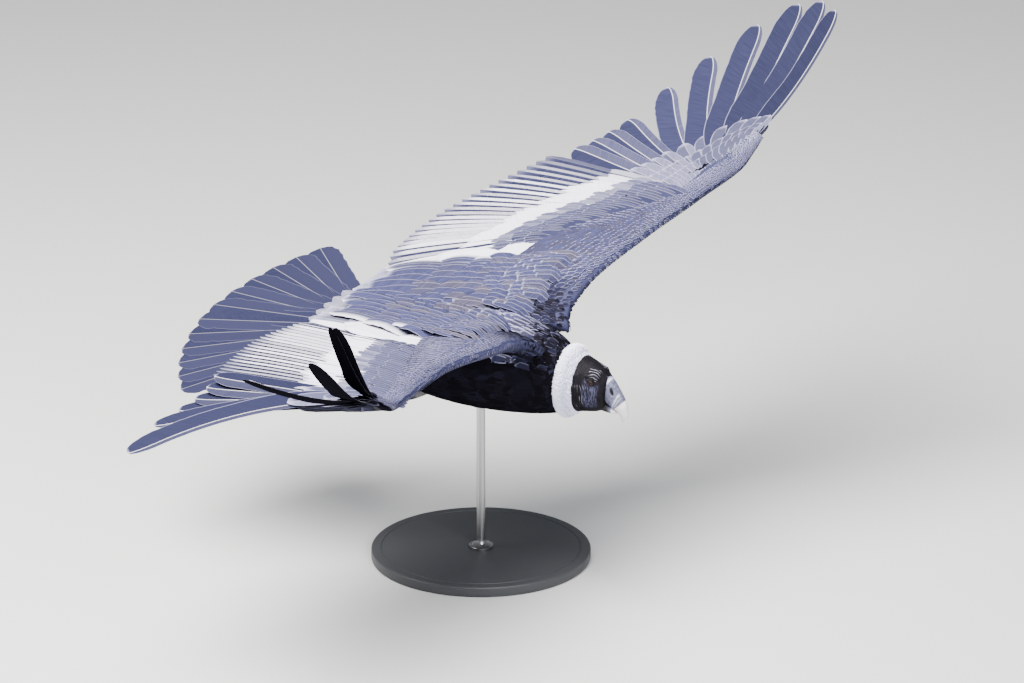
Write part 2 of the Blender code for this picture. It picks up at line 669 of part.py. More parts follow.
def build_tail(parent, colour):
    """Twelve feathers fanned from a flat root, the middle pair on top."""
    fall = np.array([math.tan(TAIL_PITCH), math.sin(TAIL_ROLL)])
    rings = []
    for i in range(TAIL_CORE_STEPS + 1):
        t = i / TAIL_CORE_STEPS
        forward = TRUNK[0][0][0] - GAP - TAIL_CORE[0] * t
        half = TAIL_CORE[1] + (TAIL_CORE[2] - TAIL_CORE[1]) * t
        thick = TAIL_CORE[3] + (TAIL_CORE[4] - TAIL_CORE[3]) * t
        ring = []
        for turn in np.linspace(0, 2 * math.pi, 12, endpoint=False):
            left = half * math.cos(turn)
            up = TAIL_CORE_UP + thick * math.sin(turn) + fall @ (forward - TAIL_ROOT[0], left)
            ring.append((forward, left, up))
        rings.append(placed(ring))
    core = loft("tail", rings, parent, colour)
    middle = (TAIL_FEATHERS - 1) / 2
    pieces = []
    for k in range(TAIL_FEATHERS):
        place = 1 - k / middle
        side = 1 if place >= 0 else -1
        length = np.interp(abs(place), (0, 1), TAIL_LENGTH)
        drop = TAIL_STACK * (abs(k - middle) - middle / 2)
        start = np.array(TAIL_ROOT) + (-0.020, place * TAIL_ROOT_SPREAD, -drop)
        sweep = abs(place) * TAIL_HALF_FAN - math.pi / 2
        line, aims = feather_line(start, sweep, 0, 0, 0, length, side, TAIL_SHARES)
        line[:, 2] += (line[:, :2] - TAIL_ROOT[:2]) @ fall
        pieces.append(vane(f"tail_{k}", line, aims, np.array([0, 0, 1.0]), side, TAIL_TILT * DEG,
                           TAIL_WEBS, TAIL_SHARES, TAIL_SHAPE, parent))
    join(core, pieces)
    end = (TRUNK[0][0][0] - GAP, 0, 0)
    cut(core, [half_space("ahead", end, (1, 0, 0), parent)])
    return core


def tube(name, line, radii, parent, colour=None, count=8):
    """A closed round body along points, with its own radius at each."""
    line = [Vector(p) for p in placed(np.array(line, float))]
    rings = []
    for i, (point, radius) in enumerate(zip(line, radii)):
        way = (line[min(i + 1, len(line) - 1)] - line[max(i - 1, 0)]).normalized()
        turn = way.to_track_quat("Z", "Y").to_matrix()
        ring = []
        for j in range(count):
            angle = 2 * math.pi * j / count
            ring.append(point + turn @ Vector((math.cos(angle), math.sin(angle), 0)) * radius)
        rings.append(ring)
    return loft(name, rings, parent, colour)


def ball(name, centre, sizes, parent, colour=None, turn=0.0):
    """An ellipsoid at a point, its sizes along (forward, left, up)."""
    bm = bmesh.new()
    bmesh.ops.create_icosphere(bm, subdivisions=2, radius=1)
    forward, left, up = sizes
    tip = Matrix.Rotation(turn, 4, "X")
    bm.transform(Matrix.Translation(Vector(placed(centre))) @ tip @ Matrix.Diagonal((left, forward, up, 1)))
    return finish(name, bm, parent, colour)


def ring_body(name, centre, way, radius, thick, parent, count, sides, oval=1.0):
    """A closed ring round an axis, such as an eyelid."""
    bm = bmesh.new()
    turn = Vector(placed(way)).to_track_quat("Z", "Y").to_matrix().to_4x4()
    grid = []
    for i in range(count):
        a = 2 * math.pi * i / count
        row = []
        for j in range(sides):
            b = 2 * math.pi * j / sides
            reach = radius + thick * math.cos(b)
            row.append(bm.verts.new((reach * math.cos(a), reach * math.sin(a) * oval, thick * math.sin(b))))
        grid.append(row)
    for i in range(count):
        for j in range(sides):
            a, b = grid[i], grid[(i + 1) % count]
            bm.faces.new((a[j], b[j], b[(j + 1) % sides]))
            bm.faces.new((a[j], b[(j + 1) % sides], a[(j + 1) % sides]))
    bm.transform(Matrix.Translation(Vector(placed(centre))) @ turn)
    return finish(name, bm, parent)


def build_neck(parent):
    """The neck inside its ruff: a core with flat locks that lie back from the head."""
    start = TORSO_END + GAP_STATIONS
    neck = trunk("neck", start, NECK_END, NECK_STEP, NECK_SIDES, parent, COLOURS["white"], RUFF_CORE)
    locks = []
    for i in range(RUFF_LOCKS):
        tier = i % 2
        angle = 2 * math.pi * i / RUFF_LOCKS
        rows = []
        for share, rise in zip(RUFF_SHARES, RUFF_RISE):
            s = RUFF_FROM + (RUFF_TO[tier] - RUFF_FROM) * (1 - share)
            top, bottom, width = trunk_at(s)
            grow = RUFF_CORE + RUFF_DEPTH * rise
            middle, half = (top + bottom) / 2, (top - bottom) / 2
            tall = np.linalg.norm(half)
            forward, up = middle + half * (1 + grow / tall) * math.sin(angle)
            rows.append(turned((forward, (width + grow) * math.cos(angle), up)))
        rows = np.array(rows)
        top, bottom, width = trunk_at(RUFF_FROM)
        centre = np.array([*(top + bottom) / 2, 0])[[0, 2, 1]]
        aims = np.gradient(rows, axis=0)
        aims = aims / np.linalg.norm(aims, axis=1)[:, None]
        out = unit(rows[1] - centre)
        locks.append(vane(f"lock_{i}", rows, aims, out, 1, RUFF_TILT, RUFF_WEBS, RUFF_SHARES,
                          RUFF_SHAPE, parent, False))
    join(neck, locks)
    return neck


def build_head(parent):
    """Bare head with ear holes, lids and folds, the bill in two halves, and both eyes."""
    face = len(TRUNK) - 1
    head = trunk("head", NECK_END + GAP_STATIONS, face, TRUNK_STEP, TRUNK_SIDES, parent, COLOURS["skin"])
    folds = []
    for side in (1, -1):
        centre = np.array(turned((EYE[0], EYE[1] * side, EYE[2])))
        way = np.array(EYE_WAY) * (1, side, 1)
        lid = centre + way * EYE_RADIUS * LID_OUT
        folds.append(ring_body("lid", lid, way, EYE_RADIUS, LID_THICK, parent, *LID_GRID, LID_OVAL))
        ear = turned((EAR[0], EAR[1] * side, EAR[2]))
        folds.append(ring_body("ear", ear, np.array(EAR_WAY) * (1, side, 1), *EAR_RING, parent, *EAR_GRID))
        brow = [turned((f, w * side, u)) for f, w, u in BROW]
        folds.append(tube("brow", brow, BROW_RADII, parent))
        cheek = [turned((f, w * side, u)) for f, w, u in CHEEK]
        folds.append(tube("cheek", cheek, CHEEK_RADII, parent))
    join(head, folds)
    cutters = []
    for side, name in ((1, "left"), (-1, "right")):
        centre = turned((EYE[0], EYE[1] * side, EYE[2]))
        ball(f"eye_{name}", centre, [EYE_RADIUS] * 3, parent, COLOURS["eye"])
        cutters.append(ball("socket", centre, [EYE_RADIUS + 2 * GAP] * 3, parent))
    cut(head, cutters)
    halves = []
    for name, rings in (("bill_upper", UPPER_BILL), ("bill_lower", LOWER_BILL)):
        made = []
        flat = [(*top, *bottom, width) for top, bottom, width in rings]
        for i in np.linspace(0, len(rings) - 1, 2 * len(rings) - 3):
            v = smooth(i, range(len(flat)), flat)
            made.append(profile_ring(v[:2], v[2:4], v[4], BILL_SIDES, power=BILL_POWER))
        halves.append(loft(name, made, parent, COLOURS["horn"]))
    upper, lower = halves
    clear = trunk("clear", NECK_END, face, TRUNK_STEP, TRUNK_SIDES, parent, None, GAP)
    cut(upper, [clear], keep=[clear])
    cut(lower, [clear])
    nostrils = []
    for side in (1, -1):
        place = turned((NOSTRIL[0], NOSTRIL[1] * side, NOSTRIL[2]))
        nostrils.append(ball("nostril", place, NOSTRIL_SIZE, parent, turn=NOSTRIL_TURN))
    cut(upper, nostrils)


def build_leg(name, parent, colour, torso_cutter):
    """Thigh, shank and a trailed foot with four clawed toes."""
    side = 1 if name == "left" else -1
    sided = np.array([1, side, 1])
    lines = {}
    for part, bones in (("thigh", THIGH), ("shank", SHANK)):
        lines[part] = [np.array(point) * sided for point, _ in bones], [radius for _, radius in bones]
    thigh = tube(f"leg_{name}", *lines["thigh"], parent, colour, THIGH_SIDES)
    pieces = [tube("shank", *lines["shank"], parent)]
    foot = np.array(SHANK[-1][0]) * sided
    for length, turn, radius in (*TOES.values(), HIND_TOE):
        way = direction((turn - 90) * DEG, -TOE_FALL, side)
        rise, fall = TOE_ARCH
        line = [foot + length * (way * t + np.array([0, 0, rise * t - fall * t * t])) for t in TOE_STOPS]
        radii = [radius * r for r in TOE_TAPER]
        pieces.append(tube("toe", line, radii, parent, None, TOE_SIDES))
    join(thigh, pieces)
    cut(thigh, [torso_cutter], keep=[torso_cutter])
    return thigh


def build_stand(torso_cutter):
    """A turned base with one rod, which ends against the breast."""
    height = BODY_HEIGHT
    for name, colour, sides, parts in (
        ("stand_base", COLOURS["base"], BASE_SIDES, (
            (0, 0), (BASE_RADIUS - BASE_CHAMFER, 0), (BASE_RADIUS, BASE_CHAMFER),
            (BASE_RADIUS, BASE_THICKNESS - BASE_CHAMFER),
            (BASE_RADIUS - BASE_CHAMFER, BASE_THICKNESS), (0, BASE_THICKNESS),
        )),
        ("stand_rod", COLOURS["steel"], ROD_SIDES, (
            (0, BASE_THICKNESS + GAP), (COLLAR_RADIUS, BASE_THICKNESS + GAP),
            (COLLAR_RADIUS, BASE_THICKNESS + COLLAR_HEIGHT * 0.6),
            (ROD_RADIUS * 1.25, BASE_THICKNESS + COLLAR_HEIGHT),
            (ROD_RADIUS, BASE_THICKNESS + 1.6 * COLLAR_HEIGHT), (ROD_RADIUS, height), (0, height),
        )),
    ):
        bm = bmesh.new()
        rings = []
        for radius, up in parts:
            if radius == 0:
                rings.append([bm.verts.new((0, 0, up))])
                continue
            angles = [2 * math.pi * i / sides for i in range(sides)]
            rings.append([bm.verts.new((radius * math.cos(a), radius * math.sin(a), up)) for a in angles])
        for low, high in zip(rings, rings[1:]):
            for i in range(sides):
                j = (i + 1) % sides
                if len(low) == 1:
                    bm.faces.new((low[0], high[i], high[j]))
                elif len(high) == 1:
                    bm.faces.new((low[i], low[j], high[0]))
                else:
                    bm.faces.new((low[i], low[j], high[j]))
                    bm.faces.new((low[i], high[j], high[i]))
        stand = finish(name, bm, None, colour)
        if name == "stand_rod":
            cut(stand, [torso_cutter], keep=[torso_cutter])


def clear_scene():
    for obj in list(bpy.data.objects):
        bpy.data.objects.remove(obj)


def main():
    clear_scene()
    bird = bpy.data.objects.new("bird", None)
    bpy.context.scene.collection.objects.link(bird)
    bird.location = (*BODY_PLACE, BODY_HEIGHT)
    bird.rotation_euler = (-CLIMB, -BANK, 0)
    bpy.context.view_layer.update()
    trunk("torso", 0, TORSO_END, TRUNK_STEP, TRUNK_SIDES, bird, COLOURS["dark"])
    build_neck(bird)
    build_head(bird)
    cutter = trunk("torso_cutter", 0, TORSO_END, TRUNK_STEP, TRUNK_SIDES, bird, None, GAP)
    for name in ("left", "right"):
        wing = Wing(name)
        arm = build_arm(wing, bird, COLOURS["grey"])
        hand = build_hand(wing, "hand", range(1, TIP_FROM), HAND_SPAN, bird, COLOURS["grey"])
        tip = build_hand(wing, "tip", range(TIP_FROM, PRIMARIES + 1), TIP_SPAN, bird, COLOURS["grey"])
        part_wing(wing, arm, hand, tip, cutter, bird)
        build_leg(name, bird, COLOURS["foot"], cutter)
    build_stand(cutter)
    bpy.data.objects.remove(cutter)
    build_tail(bird, COLOURS["grey"])


main()
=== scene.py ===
"""Looks of a life-size Andean condor, gliding on spread wings over a plain display stand.

Points of the bird are worked out as (forward, left, up) in its own level frame, in metres, and world()
places them in the row's frame. Each piece is an operator's work, and main() calls them in order.
"""

import math

import bpy
import numpy as np
from bpy.props import FloatProperty, FloatVectorProperty, IntProperty, PointerProperty
from mathutils import Euler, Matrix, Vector, noise
from mathutils.bvhtree import BVHTree

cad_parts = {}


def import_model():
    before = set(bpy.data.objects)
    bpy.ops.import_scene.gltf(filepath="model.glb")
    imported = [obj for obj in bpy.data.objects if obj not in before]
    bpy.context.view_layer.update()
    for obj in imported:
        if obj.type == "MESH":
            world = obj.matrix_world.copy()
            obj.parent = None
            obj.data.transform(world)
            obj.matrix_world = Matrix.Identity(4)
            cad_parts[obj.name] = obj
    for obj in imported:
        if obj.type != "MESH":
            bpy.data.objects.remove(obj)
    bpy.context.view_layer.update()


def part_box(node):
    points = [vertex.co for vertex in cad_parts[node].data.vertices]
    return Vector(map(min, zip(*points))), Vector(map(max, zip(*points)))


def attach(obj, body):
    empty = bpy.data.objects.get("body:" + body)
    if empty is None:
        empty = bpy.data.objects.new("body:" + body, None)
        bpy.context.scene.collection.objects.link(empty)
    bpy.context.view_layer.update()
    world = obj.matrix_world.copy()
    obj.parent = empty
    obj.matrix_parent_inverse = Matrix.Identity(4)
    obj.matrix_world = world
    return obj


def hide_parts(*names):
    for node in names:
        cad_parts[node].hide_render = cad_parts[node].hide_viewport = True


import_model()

bl_info = {
    "name": "Gliding condor",
    "version": (1, 0, 0),
    "blender": (4, 5, 0),
    "location": "View3D > Sidebar > Condor",
    "description": "Skin, plumage, bill, feet, display stand and studio of a gliding condor",
    "category": "Object",
}

DEG, FULL_TURN = math.pi / 180, 2 * math.pi
SIDES = {"left": 1, "right": -1}
UP = np.array([0, 0, 1.0])
SEED = 7

# Attitude of the bird, as its solids have it
BODY = np.array([-0.0185, 0.0350, 0.520])
CLIMB, BANK = 2.5 * DEG, 7.1 * DEG
TURN = np.array(Euler((-CLIMB, -BANK, 0)).to_matrix())
HEAD_TURN, TURN_FROM = 7.0 * DEG, 0.290

# Trunk from the tail root to the face: top, bottom (forward, up) and half width
TRUNK = np.array([
    (-0.300, 0.030, -0.300, -0.040, 0.060),
    (-0.240, 0.052, -0.240, -0.068, 0.082),
    (-0.160, 0.072, -0.160, -0.105, 0.105),
    (-0.060, 0.088, -0.060, -0.138, 0.124),
    (0.040, 0.094, 0.040, -0.148, 0.130),
    (0.130, 0.088, 0.120, -0.150, 0.120),
    (0.200, 0.070, 0.185, -0.148, 0.100),
    (0.250, 0.050, 0.228, -0.143, 0.078),
    (0.284, 0.028, 0.258, -0.136, 0.062),
    (0.308, 0.014, 0.287, -0.127, 0.0555),
    (0.328, 0.008, 0.310, -0.121, 0.051),
    (0.346, 0.001, 0.332, -0.117, 0.0465),
    (0.3625, -0.006, 0.347, -0.114, 0.041),
    (0.3765, -0.0150, 0.358, -0.110, 0.033),
    (0.3855, -0.027, 0.3665, -0.104, 0.024),
    (0.3865, -0.045, 0.373, -0.088, 0.010),
])
RUFF_START, HEAD_START = 8.0, 9.15
FACE = len(TRUNK) - 1
COAT_DEPTH, RUFF_ROLL = 0.008, 0.011

# Rings of the skin: wide apart under the feathers, close together on the head
COATED_RINGS, SKIN_COLUMNS = 62, 232
TRUNK_STATIONS = np.concatenate([np.linspace(0, 8.6, COATED_RINGS), np.linspace(8.7, 10.0, 30),
                                 np.linspace(10.02, 15, 132)])
ARM_RINGS, ARM_COLUMNS = 60, 17

# Corners of the trunk and of both wings in the bake map
CHARTS = {"trunk": ((0.01, 0.01), (0.49, 0.99)), "left": ((0.51, 0.01), (0.74, 0.99)),
          "right": ((0.76, 0.01), (0.99, 0.99))}

# Bill: culmen, cutting edge (forward, up) and half width
UPPER_BILL = np.array([
    (0.368, -0.018, 0.346, -0.071, 0.0165),
    (0.3925, -0.0285, 0.362, -0.082, 0.0165),
    (0.4065, -0.0480, 0.375, -0.092, 0.0150),
    (0.4190, -0.0710, 0.388, -0.100, 0.0135),
    (0.4275, -0.0915, 0.3975, -0.1060, 0.0115),
    (0.4275, -0.111, 0.4040, -0.1150, 0.0080),
    (0.4185, -0.1275, 0.4070, -0.1240, 0.0042),
    (0.4105, -0.1345, 0.4085, -0.1330, 0.0012),
])
LOWER_BILL = np.array([
    (0.346, -0.0725, 0.345, -0.107, 0.0175),
    (0.362, -0.0845, 0.361, -0.1115, 0.0150),
    (0.376, -0.0950, 0.376, -0.1135, 0.0115),
    (0.388, -0.1035, 0.388, -0.1140, 0.0075),
    (0.3955, -0.1095, 0.3950, -0.1130, 0.0025),
])
BILL_SQUARENESS = 2.2
EYE, EYE_RADIUS, EYE_WAY = np.array([0.3525, 0.0325, -0.0310]), 0.0090, np.array([0.45, 0.88, 0.12])
EYE_OPENING = (0.0083, 0.0062)
LID_HEIGHT, BROW_HEIGHT, BAG_HEIGHT = 0.0006, 0.0022, 0.0007
NOSTRIL, NOSTRIL_SIZE, NOSTRIL_DEPTH = (1.75, 30 * DEG), (0.36, 0.24), 0.0045
CERE_HEIGHT, GROOVE_DEPTH = 0.0006, 0.0010

# Ear opening (station of the trunk, degrees above the middle) and the grain of the bare skin
EAR, EAR_SIZE, EAR_DEPTH, GRAIN_HEIGHT = (10.35, -3), (0.16, 5.0), 0.004, 0.00035

# Wing bones and edges
SHOULDER = np.array([0.030, 0.080, 0.050])
BONES = {"left": (0.260, 0.310, 0.235), "right": (0.260, 0.310, 0.215)}
ARM_ANGLES = {
    "left": ((7.2, 17.0), (50.4, 9.6), (17.5, 15.0)),
    "right": ((14.5, 16.4), (19.0, 5.6), (23.5, 30.8)),
}
LEAD = {
    "left": {0.0: (0.258, 0.050, 0.034), 0.15: (0.240, 0.095, 0.072), 0.3: (0.257, 0.190, 0.117),
             0.65: (0.293, 0.360, 0.144), 1.0: (0.337, 0.520, 0.170), 1.6: (0.392, 0.665, 0.212),
             2.0: (0.392, 0.745, 0.240)},
    "right": {0.0: (0.258, -0.050, 0.034), 0.15: (0.242, -0.100, 0.070), 0.3: (0.243, -0.200, 0.108),
              0.65: (0.214, -0.400, 0.142), 1.0: (0.228, -0.610, 0.160), 1.6: (0.276, -0.715, 0.215),
              2.0: (0.284, -0.790, 0.266)},
}
REAR_INMOST, REAR_DEPTH = np.array([-0.120, 0.055, 0.045]), 0.055
THICKNESS = {0.0: 0.066, 0.5: 0.046, 1.04: 0.032, 1.5: 0.026, 2.05: 0.014}
SECTION_TAPER, SECTION_ARCH, NOSE = 0.62, 0.10, 1.5

# Primaries, from the inmost to the outmost: stops are feather numbers
PRIMARIES, ROOT_SPREAD = 10, 1.3
PRIMARY_LENGTH = (0.41, 0.42, 0.44, 0.47, 0.51, 0.56, 0.60, 0.61, 0.58, 0.51)
PRIMARY_SWEEP = {
    "left": {1: -67.6, 2: -61.3, 4: -50, 5: -38.2, 6: -28.1, 8: -10.4, 10: -1.2},
    "right": {1: -81, 3: -76, 4: -73, 5: -66, 6: -48, 7: 6.4, 8: 23.5, 9: 28.8, 10: 25.4},
}
PRIMARY_LIFT = {
    "left": {1: -0.2, 4: -2.2, 5: 1.8, 6: 4.8, 8: 12, 10: 14.4},
    "right": {1: 4.9, 3: -1, 4: -3.5, 5: -4.5, 6: -2.5, 7: 29.0, 8: 31.5, 9: 38.4, 10: 41},
}
PRIMARY_BEND = {
    "left": {1: 0, 4: 8, 5: 20, 7: 20, 10: 28},
    "right": {1: 0, 4: -4, 6: -30, 7: 12, 8: 22, 10: 30},
}
PRIMARY_CURVE = {
    "left": {1: 0, 4: -6, 5: -19, 7: -19, 8: -12, 10: -2},
    "right": {1: 0, 5: -4, 6: -8, 7: 0, 10: 8},
}
PRIMARY_OUTER = {1: 0.024, 5: 0.022, 7: 0.018, 10: 0.014}
PRIMARY_INNER = {1: 0.038, 4: 0.046, 6: 0.052, 8: 0.056, 9: 0.052, 10: 0.040}
FINGER_FROM, FINGER_NOTCH, FINGER_SPLIT = 5, 0.90, (0.38, 0.54)
PRIMARY_COVERT = {1: 0.48, 4: 0.47, 5: 0.43, 6: 0.36, 8: 0.27, 10: 0.24}
HAND_ROLL = {"left": (6.0, 3.0), "right": (7.0, 1.0)}
PRIMARY_TILT = {
    "left": {1: 14, 4: 9, 6: -5, 8: -8, 10: -8},
    "right": {1: -12, 6: -14, 7: 6, 8: -8, 9: -25, 10: -22},
}
PRIMARY_TWIST = {"left": {1: 0, 10: 0}, "right": {1: 0, 6: 0, 7: -24, 8: -26, 9: -25, 10: -30}}

# Below 0 a vane is darker than slate. The right wing's primaries are darkened with painted shade as far as
# its edge-on fingers
PRIMARY_PALE = {1: -0.28, 6: -0.28, 8: -0.55, 10: -0.65}
NEAR_FINGERS, NEAR_PAINTED_SHADE = 7, 0.42

# Tiers of primary coverts: share of their length, height (below 0 under the wing), width, step in number
PRIMARY_COVERT_TIERS = ((1.0, 0.006, 1.0, 1.0), (0.64, 0.010, 0.85, 0.75), (0.40, 0.0125, 0.7, 0.6),
                        (0.85, -0.006, 1.0, 0.8), (0.45, -0.009, 0.9, 0.8))

# Secondaries, from the wrist inwards
SECONDARIES, SECONDARY_INNER, FIRST_PLACE = 22, 0.029, 0.35
SECONDARY_OUTER = {0: 0.0105, 0.2: 0.0080, 0.55: 0.0098, 0.8: 0.0148, 1: 0.0160}
SECONDARY_PALE = {0: 0.15, 0.12: 0.50, 0.28: 0.95, 0.6: 0.95, 1: 0.85}
SECONDARY_LENGTH = {0.0: 0.425, 0.5: 0.430, 1.0: 0.378}
SECONDARY_SWEEP = {"left": {0.0: -76, 0.5: -92, 1.0: -111}, "right": {0.0: -84, 0.5: -95, 1.0: -105}}
SECONDARY_LIFT = {"left": {0.0: 0, 1.0: -7.2}, "right": {0.0: 3.6, 1.0: -3.2}}
SECONDARY_BEND, SECONDARY_REACH = -8, 1.12

# Greater coverts: number, share of a secondary's length, its spread, height, webs
GREATER_COVERTS, GREATER_REACH, GREATER_HEIGHT, GREATER_WEBS = 24, (0.52, 0.03), 0.0060, (0.017, 0.023)
GREATER_PALE = {0: 0.25, 0.06: 0.7, 0.2: 1.0, 1: 1.0}

# Rows of median coverts: share of a secondary's length, start along it, height, half width, number, shade
MEDIAN_ROWS = ((0.36, 0.0, 0.0095, 0.018, 26, 0.10), (0.28, -0.04, 0.0120, 0.016, 30, -0.10),
               (0.22, -0.07, 0.0140, 0.015, 34, -0.22))
MEDIAN_SINK = 0.014

# Tertials, the long ones and the short ones over them
TERTIALS = (
    {"count": 9, "part": (1.0, 0.0), "raised": 0.0, "stack": 0.002, "clear": (-0.004, 0.007, 0.009),
     "webs": (0.024, 0.031), "round_from": 0.80, "shaft": 0.0012, "white": (2, 0.9), "grey": 0.15},
    {"count": 11, "part": (0.66, 0.05), "raised": 0.004, "stack": 0.0, "clear": (-0.004, 0.010, 0.012),
     "webs": (0.020, 0.027), "round_from": 0.76, "shaft": 0.0010, "white": (4, 0.95), "grey": 0.2},
)
TERTIAL_SINK, TERTIAL_ARCH, SCAPULAR_ARCH = 0.016, 0.012, 0.014
TERTIAL_LAST = ((-0.010, 0.085, 0.062), (-0.318, 0.040, 0.058))
SCAPULAR_ROOTS = ((0.045, 0.205, 0.122), (0.025, 0.070, 0.096))
SCAPULAR_TIPS = ((-0.215, 0.150, 0.096), (-0.250, 0.025, 0.082))

# Rows of shoulder feathers, the rearmost first: start, reach, number, half width
SCAPULAR_ROWS = ((0.30, 0.78, 7, 0.026), (0.14, 0.64, 7, 0.026), (0.00, 0.52, 8, 0.024),
                 (-0.13, 0.44, 9, 0.022), (-0.25, 0.37, 11, 0.018), (-0.36, 0.31, 12, 0.016),
                 (-0.46, 0.27, 14, 0.013), (-0.55, 0.24, 15, 0.012))
SCAPULAR_SPREAD, WHITE_OUTER_SHARE, WHITE_CHANCE = 1.42, 0.16, 0.14
ARM_TILT = 6 * DEG

# Tail
TAIL_FEATHERS, TAIL_ROOT, TAIL_LENGTH = 12, np.array([-0.262, 0.0, 0.0]), (0.415, 0.402)
TAIL_HALF_FAN, TAIL_WEBS, TAIL_TILT = 44 * DEG, (0.037, 0.050), -0.6 * DEG
TAIL_FALL = np.array([math.tan(4.0 * DEG), math.sin(7.5 * DEG)])
TAIL_STACK, TAIL_ROOT_SPREAD, TAIL_PALE = 0.0012, 0.030, -0.70

# Rows of tail coverts: length, number, height
TAIL_COVERT_ROWS = ((0.150, 9, 0.006), (0.110, 8, 0.010))
TAIL_COVERT_FAN, TAIL_COVERT_SPREAD, TAIL_COVERT_WEBS = 30 * DEG, 0.045, (0.018, 0.018)

# Small feathers: number of rows, and how many stand in a row at shares of the rows
LEAF_ROWS = 5
WING_TOP = (21, {0: 140, 0.2: 130, 1: 58})
WING_UNDER = (14, {0: 62})
BODY_COAT = (50, {0: 44, 0.6: 50, 1: 74})
RUFF_COAT = (30, {0: 142})
THIGH_COAT = (16, {0: 26})

# Small coverts: how far they start under the edge, their size and the underside's reach over the chord, the
# depth of their roots, and the sine where the back's feathers end, at stations of the trunk
UNDER_EDGE, ROOT_DEPTH = 0.13, 0.0025
COVERT_SIZE = {-0.13: 0.26, 0: 0.27, 0.12: 0.55, 0.4: 1.0, 0.95: 1.5}
UNDER_REACH = {0.9: 0.80, 1.15: 0.62, 1.7: 0.62, 1.9: 0.40}
BACK_EDGE = {0: 0.25, 4: 0.62, 6.5: 0.35, 8: 0.1}

# Legs: points (forward, left, up) and radii
THIGH = (((-0.070, 0.058, -0.085), 0.030), ((-0.130, 0.056, -0.105), 0.034),
         ((-0.190, 0.052, -0.098), 0.026), ((-0.230, 0.050, -0.086), 0.0135))
SHANK = (((-0.215, 0.050, -0.090), 0.0125), ((-0.270, 0.048, -0.080), 0.0095),
         ((-0.325, 0.047, -0.074), 0.0100), ((-0.337, 0.047, -0.073), 0.0120))
TOES = ((0.088, -9, 0.0072), (0.112, -1, 0.0078), (0.080, 9, 0.0075), (0.034, 150, 0.0062))
THIGH_COVER = 0.004
TOE_FALL, TOE_ARCH, CLAW_SHARE, TOE_RINGS = 2 * DEG, (0.16, 0.22), 0.72, 60
TOE_TAPER = {-0.05: 1.0, 0.35: 0.92, 0.72: 0.74, 0.80: 0.50}
CLAW_TAPER = {0.70: 0.60, 0.92: 0.34, 1.0: 0.05}

# Stand: sizes from its solids, a groove (inset, depth) and the collar (radius, height) on the base
BASE_RADIUS, _, BASE_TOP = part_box("stand_base")[1]
ROD_RADIUS, ROD_TOP = 0.010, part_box("stand_rod")[1][2] - 0.001
BASE_CORE, BASE_SIDES, ROD_SIDES, ROD_RINGS = 0.05, 160, 64, 24
GROOVE = ((0.022, 0), (0.0228, 0.0012), (0.0242, 0.0012), (0.025, 0))
COLLAR = ((0.0278, 0.0003), (0.0280, 0.0009), (0.0280, 0.0052), (0.0272, 0.0060), (0.0140, 0.0095),
          (0.0126, 0.0102), (0.0112, 0.0135), (0.0102, 0.016), (ROD_RADIUS, 0.018))
SCREW_RING, SCREW_HEIGHT = 0.0205, 0.0088
SCREW_HEAD = {"Vertices": 20, "Radius": 0.0024, "Depth": 0.0022}

# Camera: how the photo sees the bird
VIEW_AZIMUTH, VIEW_ELEVATION = -59.5 * DEG, 20 * DEG
VIEW_DISTANCE, VIEW_LENS, VIEW_ASIDE, SENSOR, VIEW_END = 16.0, 249.75, 0.110, 36.0, 200
FLOOR_REACH, FLOOR_DROP = 60.0, 0.0005


def colour_property(name, description, default):
    """A colour that a user may change."""
    return FloatVectorProperty(name=name, description=description, default=default, size=3,
                               subtype="COLOR", min=0, max=1)


def length_property(name, description, default, low, high):
    """A length that a user may change."""
    limits = {"default": default, "min": low, "max": high}
    return FloatProperty(name=name, description=description, unit="LENGTH", **limits)


class PlumageSettings(bpy.types.PropertyGroup):
    """Colours and sizes of the feathers."""

    slate: colour_property("Slate", "Upper side of the wings, back and tail", (0.056, 0.058, 0.132))
    slate_dark: colour_property("Dark slate", "Shaded webs of the long feathers", (0.014, 0.015, 0.032))
    white: colour_property("White", "Wing band and outer webs of the secondaries", (0.80, 0.80, 0.90))
    fringe: colour_property("Fringe", "Pale edges of the small feathers", (0.40, 0.39, 0.56))
    brown: colour_property("Brown", "Worn long feathers of the shoulders", (0.100, 0.088, 0.120))
    black: colour_property("Black", "Belly, breast and undersides", (0.0040, 0.0036, 0.0050))
    down: colour_property("Down", "Ruff", (0.78, 0.78, 0.92))
    shaft: colour_property("Shafts", "Shafts of the flight feathers", (0.72, 0.70, 0.74))
    covert_length: length_property("Covert length", "Length of the small wing coverts", 0.032, 0.01, 0.1)
    body_length: length_property("Body feather length", "Length of the back's feathers", 0.046, 0.01, 0.1)
    lock_length: length_property("Ruff length", "Length of the ruff's down", 0.015, 0.005, 0.05)
    patch: FloatProperty(name="Patch", description="Size of one small feather in the bake map",
                         default=0.003, min=0.001, max=0.01)


class HeadSettings(bpy.types.PropertyGroup):
    """Colours and sizes of the bare head and the bill."""

    skin: colour_property("Skin", "Bare skin between its folds", (0.005, 0.0045, 0.006))
    # The pale crest colour is a painted highlight along the tops of the skin's folds
    crest: colour_property("Fold crests", "Pale crests of the skin's folds", (0.36, 0.35, 0.43))
    cheek: colour_property("Cheek", "Pale blue skin under the eye", (0.066, 0.066, 0.120))
    cere: colour_property("Cere", "Grey skin over the root of the bill", (0.105, 0.108, 0.170))
    horn: colour_property("Horn", "Ivory tip of the bill", (0.80, 0.77, 0.78))
    iris: colour_property("Iris", "Ring of the eye", (0.018, 0.004, 0.004))
    fold_height: length_property("Fold height", "Height of the skin's folds", 0.0016, 0, 0.004)


